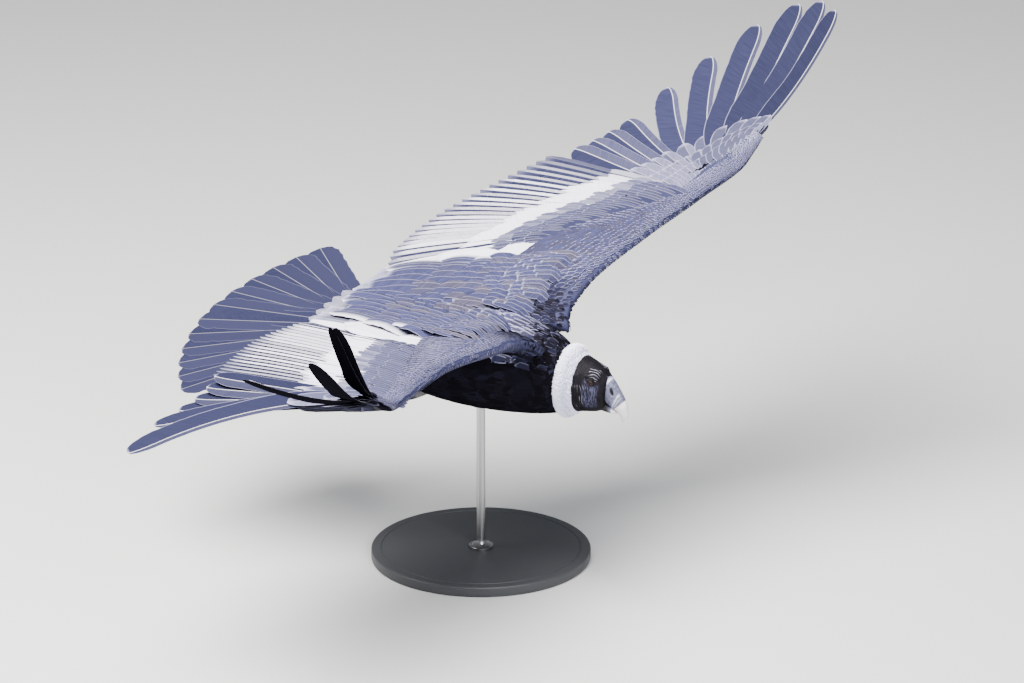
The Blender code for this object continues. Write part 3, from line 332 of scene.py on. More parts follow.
class StandSettings(bpy.types.PropertyGroup):
    """Colours and sizes of the display stand."""

    paint: colour_property("Paint", "Satin paint of the base", (0.035, 0.036, 0.040))
    steel: colour_property("Steel", "Brushed rod and collar", (0.34, 0.34, 0.35))
    bevel: length_property("Edge", "Rounding of the base's edge", 0.004, 0.001, 0.01)
    screws: IntProperty(name="Screws", description="Screws in the collar", default=3, min=2, max=8)


class StudioSettings(bpy.types.PropertyGroup):
    """Floor and lights."""

    floor: colour_property("Floor", "Pale floor", (0.62, 0.62, 0.61))
    key: FloatProperty(name="Key light", description="Power of the soft light overhead",
                       default=1000, min=0, unit="POWER")
    fill: FloatProperty(name="Fill light", description="Power of the light beside the camera",
                        default=270, min=0, unit="POWER")
    sky: FloatProperty(name="Sky", description="Strength of the even light all round",
                       default=0.33, min=0)


# Numbers and shapes


def smooth(x, xs, ys):
    """A smooth curve through stops, with slopes limited so that it doesn't overshoot."""
    x, xs, ys = np.asarray(x, float), np.asarray(xs, float), np.asarray(ys, float)
    wide = (1,) * (ys.ndim - 1)
    steps = np.diff(ys, axis=0) / np.diff(xs).reshape((-1,) + wide)
    slopes = np.zeros_like(ys)
    slopes[0], slopes[-1] = steps[0], steps[-1]
    before, after = steps[:-1], steps[1:]
    same_way = before * after > 0
    slopes[1:-1] = np.where(same_way, 2 * before * after / np.where(same_way, before + after, 1.0), 0.0)
    i = np.clip(np.searchsorted(xs, x) - 1, 0, len(xs) - 2)
    h = (xs[i + 1] - xs[i]).reshape(x.shape + wide)
    t = ((x - xs[i]).reshape(x.shape + wide)) / h
    return (ys[i] * (1 + 2 * t) * (1 - t) ** 2 + slopes[i] * h * t * (1 - t) ** 2
            + ys[i + 1] * t * t * (3 - 2 * t) + slopes[i + 1] * h * t * t * (t - 1))


def stops(x, table):
    """The smooth curve through a table of stops and values."""
    places = sorted(table)
    return smooth(x, places, [table[place] for place in places])


def share_at(x, table):
    """Straight lines through a table of stops and values."""
    return np.interp(x, list(table), list(table.values()))


def unit(v):
    """Vectors drawn to length 1."""
    v = np.asarray(v, float)
    return v / np.maximum(np.linalg.norm(v, axis=-1, keepdims=True), 1e-9)


def dot(a, b):
    """Products of vectors, kept as a last axis of length 1."""
    return np.sum(a * b, -1, keepdims=True)


def cross_ways(way):
    """Two unit vectors square to each way: one level, one up."""
    aside = unit(np.cross(way, UP))
    return aside, np.cross(aside, way)


def circle(count):
    """Angles of a full turn in even steps."""
    return np.linspace(0, FULL_TURN, count, endpoint=False)


def window(x, low, high, soft):
    """1 between low and high, falling to 0 over soft outside of them."""
    x = np.asarray(x, float)
    t = np.clip(np.minimum((x - low) / soft + 1, (high - x) / soft + 1), 0, 1)
    return t * t * (3 - 2 * t)


def axes(points):
    """(forward, left, up) vectors in the row's axes."""
    points = np.asarray(points, float)
    return np.stack([points[..., 1], -points[..., 0], points[..., 2]], -1) @ TURN.T


def world(points):
    """(forward, left, up) points in the row's frame."""
    return axes(points) + BODY


def level(points):
    """Points of the row's frame as (forward, left, up)."""
    row = (np.asarray(points, float) - BODY) @ TURN
    return np.stack([-row[..., 1], row[..., 0], row[..., 2]], -1)


def turned(points):
    """Points of the head with the head's turn to the right."""
    points = np.array(points, float)
    points[..., 1] -= math.tan(HEAD_TURN) * np.maximum(0.0, points[..., 0] - TURN_FROM)
    return points


def direction(sweep, lift, side):
    """Unit vector (forward, left, up). Sweep turns from straight out towards forward."""
    return np.array([math.sin(sweep) * math.cos(lift), side * math.cos(sweep) * math.cos(lift),
                     math.sin(lift)])


def rippled(points, scale, seed=0):
    """Smooth noise from -1 to 1 at each point."""
    flat = np.asarray(points, float).reshape(-1, 3) * scale + seed
    return np.array([noise.noise(Vector(p)) for p in flat]).reshape(np.shape(points)[:-1])


def section(v, angles, grow=0.0, power=2.0):
    """Rounded rings between top and bottom points: v holds rows of (top, bottom, half width)."""
    v = np.asarray(v, float)
    middle, half = (v[..., :2] + v[..., 2:4]) / 2, (v[..., :2] - v[..., 2:4]) / 2
    tall = np.linalg.norm(half, axis=-1, keepdims=True)
    half = half * (1 + np.expand_dims(np.broadcast_to(grow, v.shape[:-1]), -1) / tall)
    c, s = (np.sign(f) * np.abs(f) ** (2 / power) for f in (np.cos(angles), np.sin(angles)))
    profile = middle + half * s[..., None]
    return np.stack([profile[..., 0], (v[..., 4] + grow) * c, profile[..., 1]], -1)


def trunk_at(s, angle, grow=0.0):
    """Points on the trunk at stations and angles, the head turned."""
    s, angle = np.broadcast_arrays(s, angle)
    return turned(section(smooth(s, range(len(TRUNK)), TRUNK), angle, grow))


def trunk_normal(s, angle):
    """Outward normals of the trunk."""
    near = 0.02
    along = trunk_at(s + near, angle) - trunk_at(s - near, angle)
    around = trunk_at(s, angle + near) - trunk_at(s, angle - near)
    return unit(np.cross(around, along))


def trunk_back(s, angle):
    """Ways along the trunk towards the tail, not drawn to length 1."""
    near = 0.05
    return trunk_at(s - near, angle) - trunk_at(s + near, angle)


def trunk_chart(s, angle):
    """Places of the trunk's points in the bake map."""
    low, high = (np.array(corner) for corner in CHARTS["trunk"])
    return low + np.column_stack([angle / FULL_TURN, s / FACE]) * (high - low)


# Meshes


def make_piece(name, points, quads, material, maps=None, values=None, sharp=50):
    """A mesh object from points in the row's frame and four-cornered faces.

    maps holds a UV pair for each corner, values a number for each point.
    """
    mesh = bpy.data.meshes.new(name)
    points, quads = np.asarray(points, np.float32), np.asarray(quads, np.int32)
    mesh.vertices.add(len(points))
    mesh.vertices.foreach_set("co", points.ravel())
    mesh.loops.add(quads.size)
    mesh.loops.foreach_set("vertex_index", quads.ravel())
    mesh.polygons.add(len(quads))
    mesh.polygons.foreach_set("loop_start", np.arange(0, quads.size, 4, dtype=np.int32))
    for label, pairs in (maps or {}).items():
        layer = mesh.uv_layers.new(name=label)
        layer.uv.foreach_set("vector", np.asarray(pairs, np.float32).ravel())
    for label, numbers in (values or {}).items():
        layer = mesh.attributes.new(label, "FLOAT", "POINT")
        layer.data.foreach_set("value", np.asarray(numbers, np.float32).ravel())
    mesh.update(calc_edges=True)
    mesh.validate()
    mesh.shade_smooth()
    if sharp:
        mesh.set_sharp_from_angle(angle=sharp * DEG)
    mesh.materials.append(material)
    return linked(name, mesh)


def linked(name, data):
    """A new object of the scene that shows this data."""
    obj = bpy.data.objects.new(name, data)
    bpy.context.scene.collection.objects.link(obj)
    return obj


def keep_evaluated(obj):
    """What an object's modifiers make becomes its own mesh."""
    graph = bpy.context.evaluated_depsgraph_get()
    made = bpy.data.meshes.new_from_object(obj.evaluated_get(graph), depsgraph=graph)
    obj.modifiers.clear()
    before = obj.data
    obj.data = made
    bpy.data.meshes.remove(before)
    made.name = obj.name


def grid_quads(rows, columns, closed):
    """Faces of a grid of points, closed round its columns or not."""
    r, c = np.meshgrid(np.arange(rows - 1), np.arange(columns if closed else columns - 1), indexing="ij")
    n = (c + 1) % columns
    return np.stack([r * columns + c, r * columns + n, (r + 1) * columns + n, (r + 1) * columns + c],
                    -1).reshape(-1, 4)


def capped_quads(rows, columns):
    """Faces of a grid closed round its columns, with strips of faces over its first and last row."""
    cap = np.array([(i, i + 1, columns - 2 - i, columns - 1 - i) for i in range(columns // 2 - 1)])
    return np.concatenate([grid_quads(rows, columns, True), cap[:, ::-1], cap + (rows - 1) * columns])


def volume(points, quads):
    """Six times the volume inside closed faces, below 0 where they point inwards."""
    a, b, c, d = (points[quads[:, i]] - points[0] for i in range(4))
    return (np.einsum("ij,ij->i", a, np.cross(b, c)) + np.einsum("ij,ij->i", a, np.cross(c, d))).sum()


def loft_piece(name, rings, material, values=None, chart=None, sharp=50):
    """A closed body through rings of points, each end drawn in to a small flat cap."""
    rings = np.asarray(rings, float)
    rows, columns = rings.shape[:2]
    start, end = (rings[i].mean(axis=0) for i in (0, -1))
    tiny = 0.02
    rings = np.concatenate([[start + (rings[0] - start) * tiny], rings, [end + (rings[-1] - end) * tiny]])
    quads = capped_quads(rows + 2, columns)
    points = world(rings.reshape(-1, 3))
    if volume(points, quads) < 0:
        quads = quads[:, ::-1]
    maps = None
    if chart:
        low, high = np.array(chart[0]), np.array(chart[1])
        row, column = quads // columns, quads % columns
        wrapped = (column == 0) & (column.max(axis=1, keepdims=True) > columns / 2)
        pair = np.stack([(column + wrapped * columns) / columns, row / (rows + 1)], -1)
        maps = {"OFBake": low + pair * (high - low)}
    values = {key: np.concatenate([v[:1], v, v[-1:]]).ravel() for key, v in (values or {}).items()}
    return make_piece(name, points, quads, material, maps, values, sharp)


def tube_rings(line, radii, count):
    """Rings round a line of points, each with its own radius."""
    line = np.asarray(line, float)
    aside, up = cross_ways(unit(np.gradient(line, axis=0)))
    turn = circle(count)[:, None]
    radii = np.asarray(radii, float)[:, None, None]
    return line[:, None] + radii * (aside[:, None] * np.cos(turn) + up[:, None] * np.sin(turn))


def dress(obj, slot, *nodes):
    """The piece rides on the part and stands for its nodes. Its slot is not used."""
    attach(obj, "root")
    if nodes:
        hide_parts(*nodes)


# Nodes of materials and of Geometry Nodes


def add_node(tree, kind, settings, values):
    """A node of a type, its settings made first, then its inputs' values or links."""
    made = tree.nodes.new(kind)
    for key, value in settings.items():
        setattr(made, key, value)
    for key, value in values.items():
        if isinstance(value, bpy.types.NodeSocket):
            tree.links.new(value, made.inputs[key])
        else:
            made.inputs[key].default_value = value
    return made


def start_tree(name, inputs):
    """A Geometry Nodes tree with named inputs, and their sockets."""
    tree = bpy.data.node_groups.new(name, "GeometryNodeTree")
    for label, kind in inputs.items():
        tree.interface.new_socket(label, in_out="INPUT", socket_type="NodeSocket" + kind)
    tree.interface.new_socket("Made", in_out="OUTPUT", socket_type="NodeSocketGeometry")
    return tree, tree.nodes.new("NodeGroupInput").outputs


def end_tree(tree, geometry, finish):
    """The tree's last nodes: the material on what was made, and the way out."""
    ended = add_node(tree, "GeometryNodeSetMaterial", {}, {"Geometry": geometry, "Material": finish})
    out = add_node(tree, "NodeGroupOutput", {}, {0: ended.outputs[0]})
    out.is_active_output = True


def run_tree(obj, tree, given):
    """The tree's work on an object, made real, with values for its named inputs."""
    modifier = obj.modifiers.new(tree.name, "NODES")
    modifier.node_group = tree
    for item in tree.interface.items_tree:
        if item.in_out == "INPUT" and item.name in given:
            modifier[item.identifier] = given[item.name]
    keep_evaluated(obj)


class Signal:
    """A shader socket that takes part in Python expressions."""

    def __init__(self, finish, socket):
        self.finish, self.socket = finish, socket

    def maths(self, operation, *others):
        values = {i: value for i, value in enumerate(others)}
        return self.finish.node("ShaderNodeMath", {"operation": operation}, values)

    def __add__(self, other):
        return self.maths("ADD", self, other)

    def __sub__(self, other):
        return self.maths("SUBTRACT", self, other)

    def __rsub__(self, other):
        return self.maths("SUBTRACT", other, self)

    def __mul__(self, other):
        return self.maths("MULTIPLY", self, other)

    def __abs__(self):
        return self.maths("ABSOLUTE", self)

    __radd__, __rmul__ = __add__, __mul__


class Finish:
    """A material in the making: one method adds any node."""

    def __init__(self, name, **constants):
        self.material = bpy.data.materials.new(name)
        self.material.use_nodes = True
        self.tree = self.material.node_tree
        self.shader = self.tree.nodes["Principled BSDF"]
        for key, value in constants.items():
            self.shader.inputs[key.replace("_", " ")].default_value = value

    def node(self, kind, settings, values, out=0):
        """One output of a new node, whose inputs take values or signals."""
        given = {key: value.socket if isinstance(value, Signal) else value for key, value in values.items()}
        return Signal(self, add_node(self.tree, kind, settings, given).outputs[out])

    def mix(self, factor, a, b):
        """From colour a to colour b."""
        a, b = (v if isinstance(v, Signal) else (*v, 1) for v in (a, b))
        return self.node("ShaderNodeMix", {"data_type": "RGBA"}, {0: factor, 6: a, 7: b}, 2)

    def step(self, value, low, high):
        """0 at low to 1 at high, smoothly."""
        settings = {"interpolation_type": "SMOOTHSTEP"}
        values = {"Value": value, "From Min": low, "From Max": high}
        return self.node("ShaderNodeMapRange", settings, values)

    def value(self, name):
        """A number that the mesh holds."""
        return self.node("ShaderNodeAttribute", {"attribute_name": name}, {}, 2)

    def place(self):
        """The point of the surface, in metres."""
        return self.node("ShaderNodeTexCoord", {}, {}, "Object")

    def pair(self, name):
        """Both numbers of one of the piece's own UV maps."""
        uv = self.node("ShaderNodeUVMap", {"uv_map": name}, {})
        split = self.node("ShaderNodeSeparateXYZ", {}, {0: uv})
        return split, Signal(self, split.socket.node.outputs[1])

    def noise(self, vector, scale, detail=2.0):
        """Cloudy noise from 0 to 1."""
        return self.node("ShaderNodeTexNoise", {}, {"Vector": vector, "Scale": scale, "Detail": detail})

    def feed(self, name, signal):
        """Links a signal into the shader."""
        self.tree.links.new(signal.socket, self.shader.inputs[name])

    def bump(self, height, strength, distance):
        """Small relief by the shader's normal."""
        values = {"Height": height, "Strength": strength, "Distance": distance}
        self.feed("Normal", self.node("ShaderNodeBump", {}, values))


def clouded_finish(name, colour, other, scale, share=1.0, detail=2.0, stretch=None, rough=None, **constants):
    """A finish in the making that wanders between two colours by noise, and in roughness (lowest, rise)."""
    made = Finish(name, **constants)
    place = made.place()
    if stretch:
        place = made.node("ShaderNodeMapping", {}, {"Vector": place, "Scale": stretch})
    cloud = made.noise(place, scale, detail)
    made.feed("Base Color", made.mix(cloud * share, colour, other))
    if rough:
        made.feed("Roughness", rough[0] + cloud * rough[1])
    return made


def vane_finish(name, p, webs, rim=0.5, rim_from=0.80, shaft=0.0, barbs=1.0, tip_from=0.90, below=None,
                fade=False):
    """A feather's colours from its own maps: Vane runs across and along it, Real does so in metres.

    rim and shaft say how strongly the pale edge and the shaft show, below gives the underside's colours,
    and with fade the rim fades out where the feather is dark.
    """
    made = Finish(name, Roughness=0.70, Specular_IOR_Level=0.0)
    across, along = made.pair("Vane")
    wide, far = made.pair("Real")
    offset = abs(across - 0.5) * 2
    tint, pale, under = made.value("tint"), made.value("pale"), made.value("under")
    outer = 1 - made.step(across, 0.44, 0.56)
    barb_slant, barbs_per_metre, breaks_per_metre, apart = 0.9, 330, 22, 60
    barb = far - abs(wide) * barb_slant
    vector = made.node("ShaderNodeCombineXYZ", {},
                       {0: barb * barbs_per_metre, 1: abs(wide) * breaks_per_metre, 2: tint * apart})
    streak = made.step(made.noise(vector, 1.0, 3.0), 0.30, 0.70)
    colour = webs(made, outer, pale, tint, streak, along, offset)
    if rim:
        edge = made.step(offset, rim_from, 0.99)
        tip = made.step(along, tip_from, 0.998)
        amount = (1 - (1 - edge) * (1 - tip)) * rim
        colour = made.mix(amount * made.step(pale, 0.0, 0.9) if fade else amount, colour, p.fringe)
    if shaft:
        thin = 1 - made.step(abs(wide), 0.0005, 0.0012)
        colour = made.mix(thin * shaft, colour, p.shaft)
    dark, light = below or (p.black, p.slate_dark)
    colour = made.mix(under, colour, made.mix(streak * 0.12, dark, light))
    made.feed("Base Color", colour)
    made.bump(streak, 0.25 * barbs, 0.0012)
    return made.material


def slate_webs(p, inner_dark=0.55, tip_pale=0.25, frost=0.20):
    """Grey webs, the outer one frosted and the inner one darker."""
    def webs(made, outer, pale, tint, streak, along, offset):
        grey = made.mix(tint * 0.30 + streak * 0.40, p.slate, p.slate_dark)
        grey = made.mix((1 - outer) * inner_dark, grey, p.slate_dark)
        grey = made.mix(outer * (streak * frost + tip_pale), grey, p.fringe)
        grey = made.mix(0.0 - pale, grey, p.slate_dark)
        return made.mix(pale, grey, p.white)
    return webs


def banded_webs(p, wash):
    """White outer webs over dark inner webs, with a brown wash where the wear shows."""
    def webs(made, outer, pale, tint, streak, along, offset):
        grey = made.mix(streak * 0.5 + outer * 0.2, p.slate_dark, p.slate)
        white = made.mix(streak * 0.22 + tint * wash, p.white, p.brown)
        white = made.mix(made.step(along, 0.88, 1.0) * wash, white, p.slate_dark)
        return made.mix(pale * made.step(outer + (pale - 0.75) * 0.9, 0.35, 0.65), grey, white)
    return webs


def scaled_webs(p):
    """Small feathers: slate to black by the pale value, with a soft centre."""
    def webs(made, outer, pale, tint, streak, along, offset):
        grey = made.mix(tint * 0.55 + streak * 0.35, p.slate, p.slate_dark)
        grey = made.mix(tint * tint * 0.35, grey, p.brown)
        return made.mix(pale, p.black, grey)
    return webs


# Feathers as vanes


WHOLE = (0, 1, 1)


def base_round(t, base_to, base_share):
    """Share of a feather's width that its narrow base has at shares t."""
    return base_share + (1 - base_share) * np.sin(math.pi / 2 * np.clip(t / base_to, 0, 1))


def tip_round(t, tip_from, blunt=0.05):
    """Share of a feather's width that its round tip keeps at shares t."""
    reach = np.clip((t - tip_from) / (1 - tip_from), 0, 1)
    return np.sqrt(1 - reach**2) * (1 - blunt) + blunt


def vane_width(t, half, shape, notch):
    """Half width of a web at shares t. The notch narrows it to a share between two places."""
    tip_from, base_to, base_share = shape
    fall_from, fall_to, share = notch
    narrowed = half * np.interp(t, (fall_from, fall_to), (1, share))
    return narrowed * base_round(t, base_to, base_share) * tip_round(t, tip_from)


def feather_line(root, sweep, lift, bend, curve, length, side, shares):
    """Points and directions along a feather's rib. Its lift grows by bend, its sweep falls by curve."""
    fine = 48
    middles = np.arange(fine) + 0.5
    ways = np.array([direction(sweep - curve * x, lift + bend * x, side) for x in middles / fine - 0.5])
    dense = np.concatenate([[np.asarray(root, float)], root + np.cumsum(ways, axis=0) * length / fine])
    places = np.asarray(shares) * fine

    def sample(at, vectors):
        return np.stack([np.interp(places, at, column) for column in vectors.T], -1)

    return sample(np.arange(fine + 1), dense), unit(sample(middles, ways))


def arched_line(root, tip, arch, shares):
    """Points and directions along a feather that rises a little between its root and its tip."""
    t = np.asarray(shares)[:, None]
    lift = np.array([0, 0, 4 * arch])
    return root + (tip - root) * t + lift * t * (1 - t), unit(tip - root + lift * (1 - 2 * t))


class Vanes:
    """Long feathers gathered into one piece, each a thin closed vane with its shaft on top."""

    WEB = np.array([1.0, 0.68, 0.36])
    EDGE = np.array([0.35, 0.7, 0.9, 1, 1, 1, 0.9, 0.7, 0.35])
    RIDGE = np.arange(len(EDGE)) == len(EDGE) // 2
    STRIP_WIDTH, STRIP_MARGIN, STRIP_SHARE = 0.46, 0.02, 0.96

    def __init__(self, name, seed):
        self.name, self.draw = name, np.random.default_rng(seed)
        self.points, self.quads, self.count = [], [], 0
        self.maps = {"Vane": [], "Real": [], "OFBake": []}
        self.values = {"under": [], "tint": [], "pale": []}

    def add(self, line, aims, up, side, tilt, webs, shape, shares, notch=WHOLE, pale=0.0,
            thick=0.0007, camber=0.10, shaft=0.0011, ragged=0.02, lean=0.0):
        """One vane along a line, its webs (outer, inner) half widths.

        shape says where the tip starts to round, where the base ends and its first share of the width.
        tilt turns the vane about its shaft, and lean slides its tip towards the wider web.
        """
        rows, wide = len(shares), len(self.EDGE)
        up = unit(up - aims * (aims @ up)[:, None])
        across = side * np.cross(aims, up)
        tilt = np.broadcast_to(tilt, rows)[:, None]
        cos, sin = np.cos(tilt), np.sin(tilt)
        across, up = across * cos + up * sin, up * cos - across * sin
        t = np.asarray(shares)
        worn = np.interp(t, (0.1, 0.2, 0.75, 0.9), (0, 1, 1, 2.2))
        wear = 1 + ragged * self.draw.uniform(-1, 1, (2, rows)) * worn
        outer, inner = (vane_width(t, webs[i], shape, notch if i else WHOLE) * wear[i] for i in (0, 1))
        rib = shaft * (1 - 0.7 * t)
        offsets = np.stack([*(outer * w for w in self.WEB), rib, rib * 0, -rib,
                            *(-inner * w for w in self.WEB[::-1])], -1)
        crest = self.RIDGE * rib[:, None]
        height = -camber * np.abs(offsets) ** 1.5 / math.sqrt(max(webs)) + crest * 0.6
        edge = self.EDGE * thick / 2
        faces = height + edge, height - edge - crest * 1.5
        slide = lean * (webs[1] - webs[0]) / 2 * (1 - tip_round(t, shape[0]))
        flat = (line - across * slide[:, None])[:, None] + across[:, None] * offsets[..., None]
        top, bottom = (flat + up[:, None] * face[..., None] for face in faces)
        points = world(np.concatenate([top, bottom[:, ::-1]], axis=1).reshape(-1, 3))
        quads = capped_quads(rows, 2 * wide)
        if volume(points, quads) < 0:
            quads = quads[:, ::-1]
        column, row = quads % (2 * wide), quads // (2 * wide)
        low = column >= wide
        where = offsets[row, np.where(low, 2 * wide - 1 - column, column)]
        share = 0.5 - 0.5 * where / np.where(where > 0, outer[row], inner[row])
        far = t * np.linalg.norm(line[-1] - line[0])
        strip = share * self.STRIP_WIDTH + low.all(axis=1, keepdims=True) * 0.5 + self.STRIP_MARGIN
        for label, across_it, along_it in (("Vane", share, t), ("Real", where, far), ("OFBake", strip, t)):
            self.maps[label].append(np.stack([across_it, along_it[row]], -1))
        self.quads.append(quads + self.count)
        self.points.append(points)
        self.count += len(points)
        self.values["under"].append(np.tile(np.arange(2 * wide) >= wide, rows))
        self.values["tint"].append(np.full(len(points), self.draw.uniform()))
        self.values["pale"].append(np.repeat(np.broadcast_to(pale, rows), 2 * wide))

    def piece(self, material):
        """One object, each vane with its own strip of the bake map."""
        number = len(self.points)
        across = math.ceil(math.sqrt(number * 3))
        down = math.ceil(number / across)
        strips = []
        for i, strip in enumerate(self.maps["OFBake"]):
            corner = np.array([i % across / across, i // across / down])
            strips.append(corner + strip * self.STRIP_SHARE / (across, down))
        self.maps["OFBake"] = strips
        points, quads = np.concatenate(self.points), np.concatenate(self.quads)
        maps, values = (
            {key: np.concatenate(parts) for key, parts in table.items()} for table in (self.maps, self.values)
        )
        return make_piece(self.name, points, quads, material, maps, values)


class Wing:
    """One wing: its bones, its edges and the places of its feathers."""

    def __init__(self, name):
        self.name, self.side = name, SIDES[name]
        joints = [SHOULDER * (1, self.side, 1)]
        for (sweep, lift), length in zip(ARM_ANGLES[name], BONES[name]):
            joints.append(joints[-1] + length * direction(sweep * DEG, lift * DEG, self.side))
        self.shoulder, self.elbow, self.wrist, self.tip = joints
        self.hand_way = unit(self.tip - self.wrist)

    def lead(self, s):
        """Leading edge: s 0 at the body, 1 at the wrist, 2 at the hand's tip."""
        return stops(s, LEAD[self.name])

    def rear(self, s):
        """Rear edge of the fleshy arm."""
        behind = np.array([-REAR_DEPTH, 0, -0.006])
        places = (REAR_INMOST * (1, self.side, 1), self.elbow + behind, self.wrist + 0.9 * behind,
                  self.tip + np.array([-0.012, 0, 0]))
        return smooth(s, (0, 0.5, 1, 2), places)

    def bone(self, s):
        """s 0 at the wrist, 1 at the elbow, more towards the shoulder."""
        if s <= 1:
            return self.wrist + (self.elbow - self.wrist) * s
        return self.elbow + (self.shoulder - self.elbow) * (s - 1)

    def up_at(self, s):
        """Up out of the wing."""
        s = np.asarray(s, float)
        ahead, behind = self.lead(np.minimum(2, s + 0.1)), self.lead(np.maximum(0, s - 0.1))
        up = unit(np.cross(ahead - behind, self.rear(s) - self.lead(s)) * -self.side)
        return np.where(up[..., 2:] > 0, up, -up)

    def flesh(self, s, x, top, grow=0.0):
        """Points of the arm's surface at places s and chord shares x, on its top or underside."""
        s, x = np.broadcast_arrays(np.asarray(s, float), np.asarray(x, float))
        lead, rear, up, thick = self.lead(s), self.rear(s), self.up_at(s), stops(s, THICKNESS) + 2 * grow
        lead = lead - unit(rear - lead) * grow * NOSE
        taper = (1 - SECTION_TAPER * x) / (1 - SECTION_TAPER / 3)
        body = (1 if top else -1) * 2 * np.sqrt(np.clip(x * (1 - x), 0, 1)) * taper
        arch = SECTION_ARCH * thick * np.sin(math.pi * x)
        return lead + (rear - lead) * x[..., None] + up * (thick / 2 * body + arch)[..., None]

    def follow(self, s, u, length, way):
        """Roots on the arm, and the ways out of it and along it, of feathers that follow its skin.

        u is the chord share, below 0 on the underside. The feathers point to higher u where way is 1.
        """
        v = np.linspace(-1, 1, 65)
        s = s[:, None]
        halves = self.flesh(s, v[v < 0] ** 2, False), self.flesh(s, v[v >= 0] ** 2, True)
        ring = np.concatenate(halves, axis=1)
        steps = np.linalg.norm(np.diff(ring, axis=1), axis=-1)
        arc = np.concatenate([np.zeros_like(s), np.cumsum(steps, axis=1)], axis=1)
        rows = np.arange(len(s))

        def sample(values, place):
            low = np.clip(place.astype(int), 0, len(v) - 2)
            share = (place - low).reshape((-1,) + (1,) * (values.ndim - 2))
            return values[rows, low] * (1 - share) + values[rows, low + 1] * share

        def place_of(far):
            low = np.clip((arc < far[:, None]).sum(axis=1) - 1, 0, len(v) - 2)
            return low + (far - arc[rows, low]) / steps[rows, low]

        start = (np.sign(u) * np.sqrt(np.abs(u)) + 1) / 2 * (len(v) - 1)
        far = sample(arc, start)
        root, tip = sample(ring, start), sample(ring, place_of(far + way * 0.5 * length))
        middle = np.clip(place_of(far + way * 0.3 * length), 1, len(v) - 2)
        along = unit(sample(ring, middle + 0.5) - sample(ring, middle - 0.5))
        span = unit(self.lead(s[:, 0] + 0.01) - self.lead(s[:, 0] - 0.01))
        out = unit(np.cross(span, along))
        lead, rear, lie = (ask(s[:, 0]) for ask in (self.lead, self.rear, self.lie))
        inside = lead * 0.6 + rear * 0.4
        out *= np.sign(dot(out, sample(ring, middle) - inside))
        backwards = np.maximum(0.5, dot(lie, unit(rear - lead)))
        return root, out, unit(unit(tip - root) * backwards + span * dot(lie, span))

    def lie(self, s):
        """The way small feathers point at place s: back along the long ones under them."""
        ways = []
        for place in np.atleast_1d(s):
            if place < 1:
                t = min(1.0, (1 - place) / 0.5 / SECONDARY_REACH)
                sweep, lift = self.angles(t, SECONDARY_SWEEP, SECONDARY_LIFT)
            else:
                k = 1 + (PRIMARIES - 1) * min(1.0, (place - 1)) ** (1 / ROOT_SPREAD)
                sweep, lift, bend = self.angles(k, PRIMARY_SWEEP, PRIMARY_LIFT, PRIMARY_BEND)
                sweep, lift = min(max(sweep, -82 * DEG), -25 * DEG), min(lift - bend / 2, 12 * DEG)
            ways.append(direction(sweep, lift, self.side))
        return np.array(ways)

    def angles(self, place, *tables):
        """This wing's angles at a place of tables that hold degrees for each wing."""
        return [stops(place, table[self.name]) * DEG for table in tables]

    def primary(self, k, shares, part=1.0, raised=0.0):
        """Rib of primary k, from 1, or of the covert on its first part."""
        root = self.wrist + (self.tip - self.wrist) * ((k - 0.5) / PRIMARIES) ** ROOT_SPREAD
        root = root + self.hand_up(k) * raised
        angles = self.angles(k, PRIMARY_SWEEP, PRIMARY_LIFT, PRIMARY_BEND, PRIMARY_CURVE)
        length = float(np.interp(k, range(1, PRIMARIES + 1), PRIMARY_LENGTH))
        return feather_line(root, *angles, length, self.side, np.asarray(shares) * part)

    def secondary(self, t, shares, start=0.0, part=1.0, raised=0.0):
        """Rib of a feather in the secondaries' row or over it: t 0 at the wrist, 1 innermost."""
        sweep, lift = self.angles(t, SECONDARY_SWEEP, SECONDARY_LIFT)
        length = stops(t, SECONDARY_LENGTH)
        root = self.bone(t * SECONDARY_REACH) + self.row_up(t) * raised
        root = root + direction(sweep, lift, self.side) * length * start
        return feather_line(root, sweep, lift, SECONDARY_BEND * DEG, 0, length * part, self.side, shares)

    def tertial(self, t, shares):
        """Rib of an inner feather: t 0 next to the last secondary, 1 along the back."""
        first = self.bone(SECONDARY_REACH), self.secondary(1, (0, 1))[0][1]
        last = (np.array(point) * (1, self.side, 1) for point in TERTIAL_LAST)
        root, tip = (a + (b - a) * t for a, b in zip(first, last))
        return arched_line(root, tip, TERTIAL_ARCH, shares)

    def scapular(self, t, shares, start=0.0, reach=1.0):
        """Rib of a shoulder feather: t 0 outermost, 1 along the back."""
        ends = (np.array(ends) * (1, self.side, 1) for ends in (SCAPULAR_ROOTS, SCAPULAR_TIPS))
        root, tip = (a + (b - a) * t for a, b in ends)
        way = tip - root
        return arched_line(root + way * start, root + way * (start + reach), SCAPULAR_ARCH, shares)

    def row_up(self, t):
        """Up out of the row of secondaries."""
        way = direction(*self.angles(t, SECONDARY_SWEEP, SECONDARY_LIFT), self.side)
        up = unit(np.cross(unit(self.elbow - self.wrist), way))
        return up if up[2] > 0 else -up

    def hand_tilt(self, k):
        """Turn of primary k about its own shaft."""
        return float(stops(k, PRIMARY_TILT[self.name])) * DEG

    def hand_up(self, k=PRIMARIES):
        """Up out of primary k: the inner ones lie level with the secondaries."""
        up = unit(np.cross(self.hand_way, direction(-65 * DEG, 0, self.side)))
        start, soft = HAND_ROLL[self.name]
        share = float(window(k, start, 2 * PRIMARIES, soft))
        return unit((up if up[2] > 0 else -up) * share + self.row_up(0) * (1 - share))


# Small feathers by Geometry Nodes


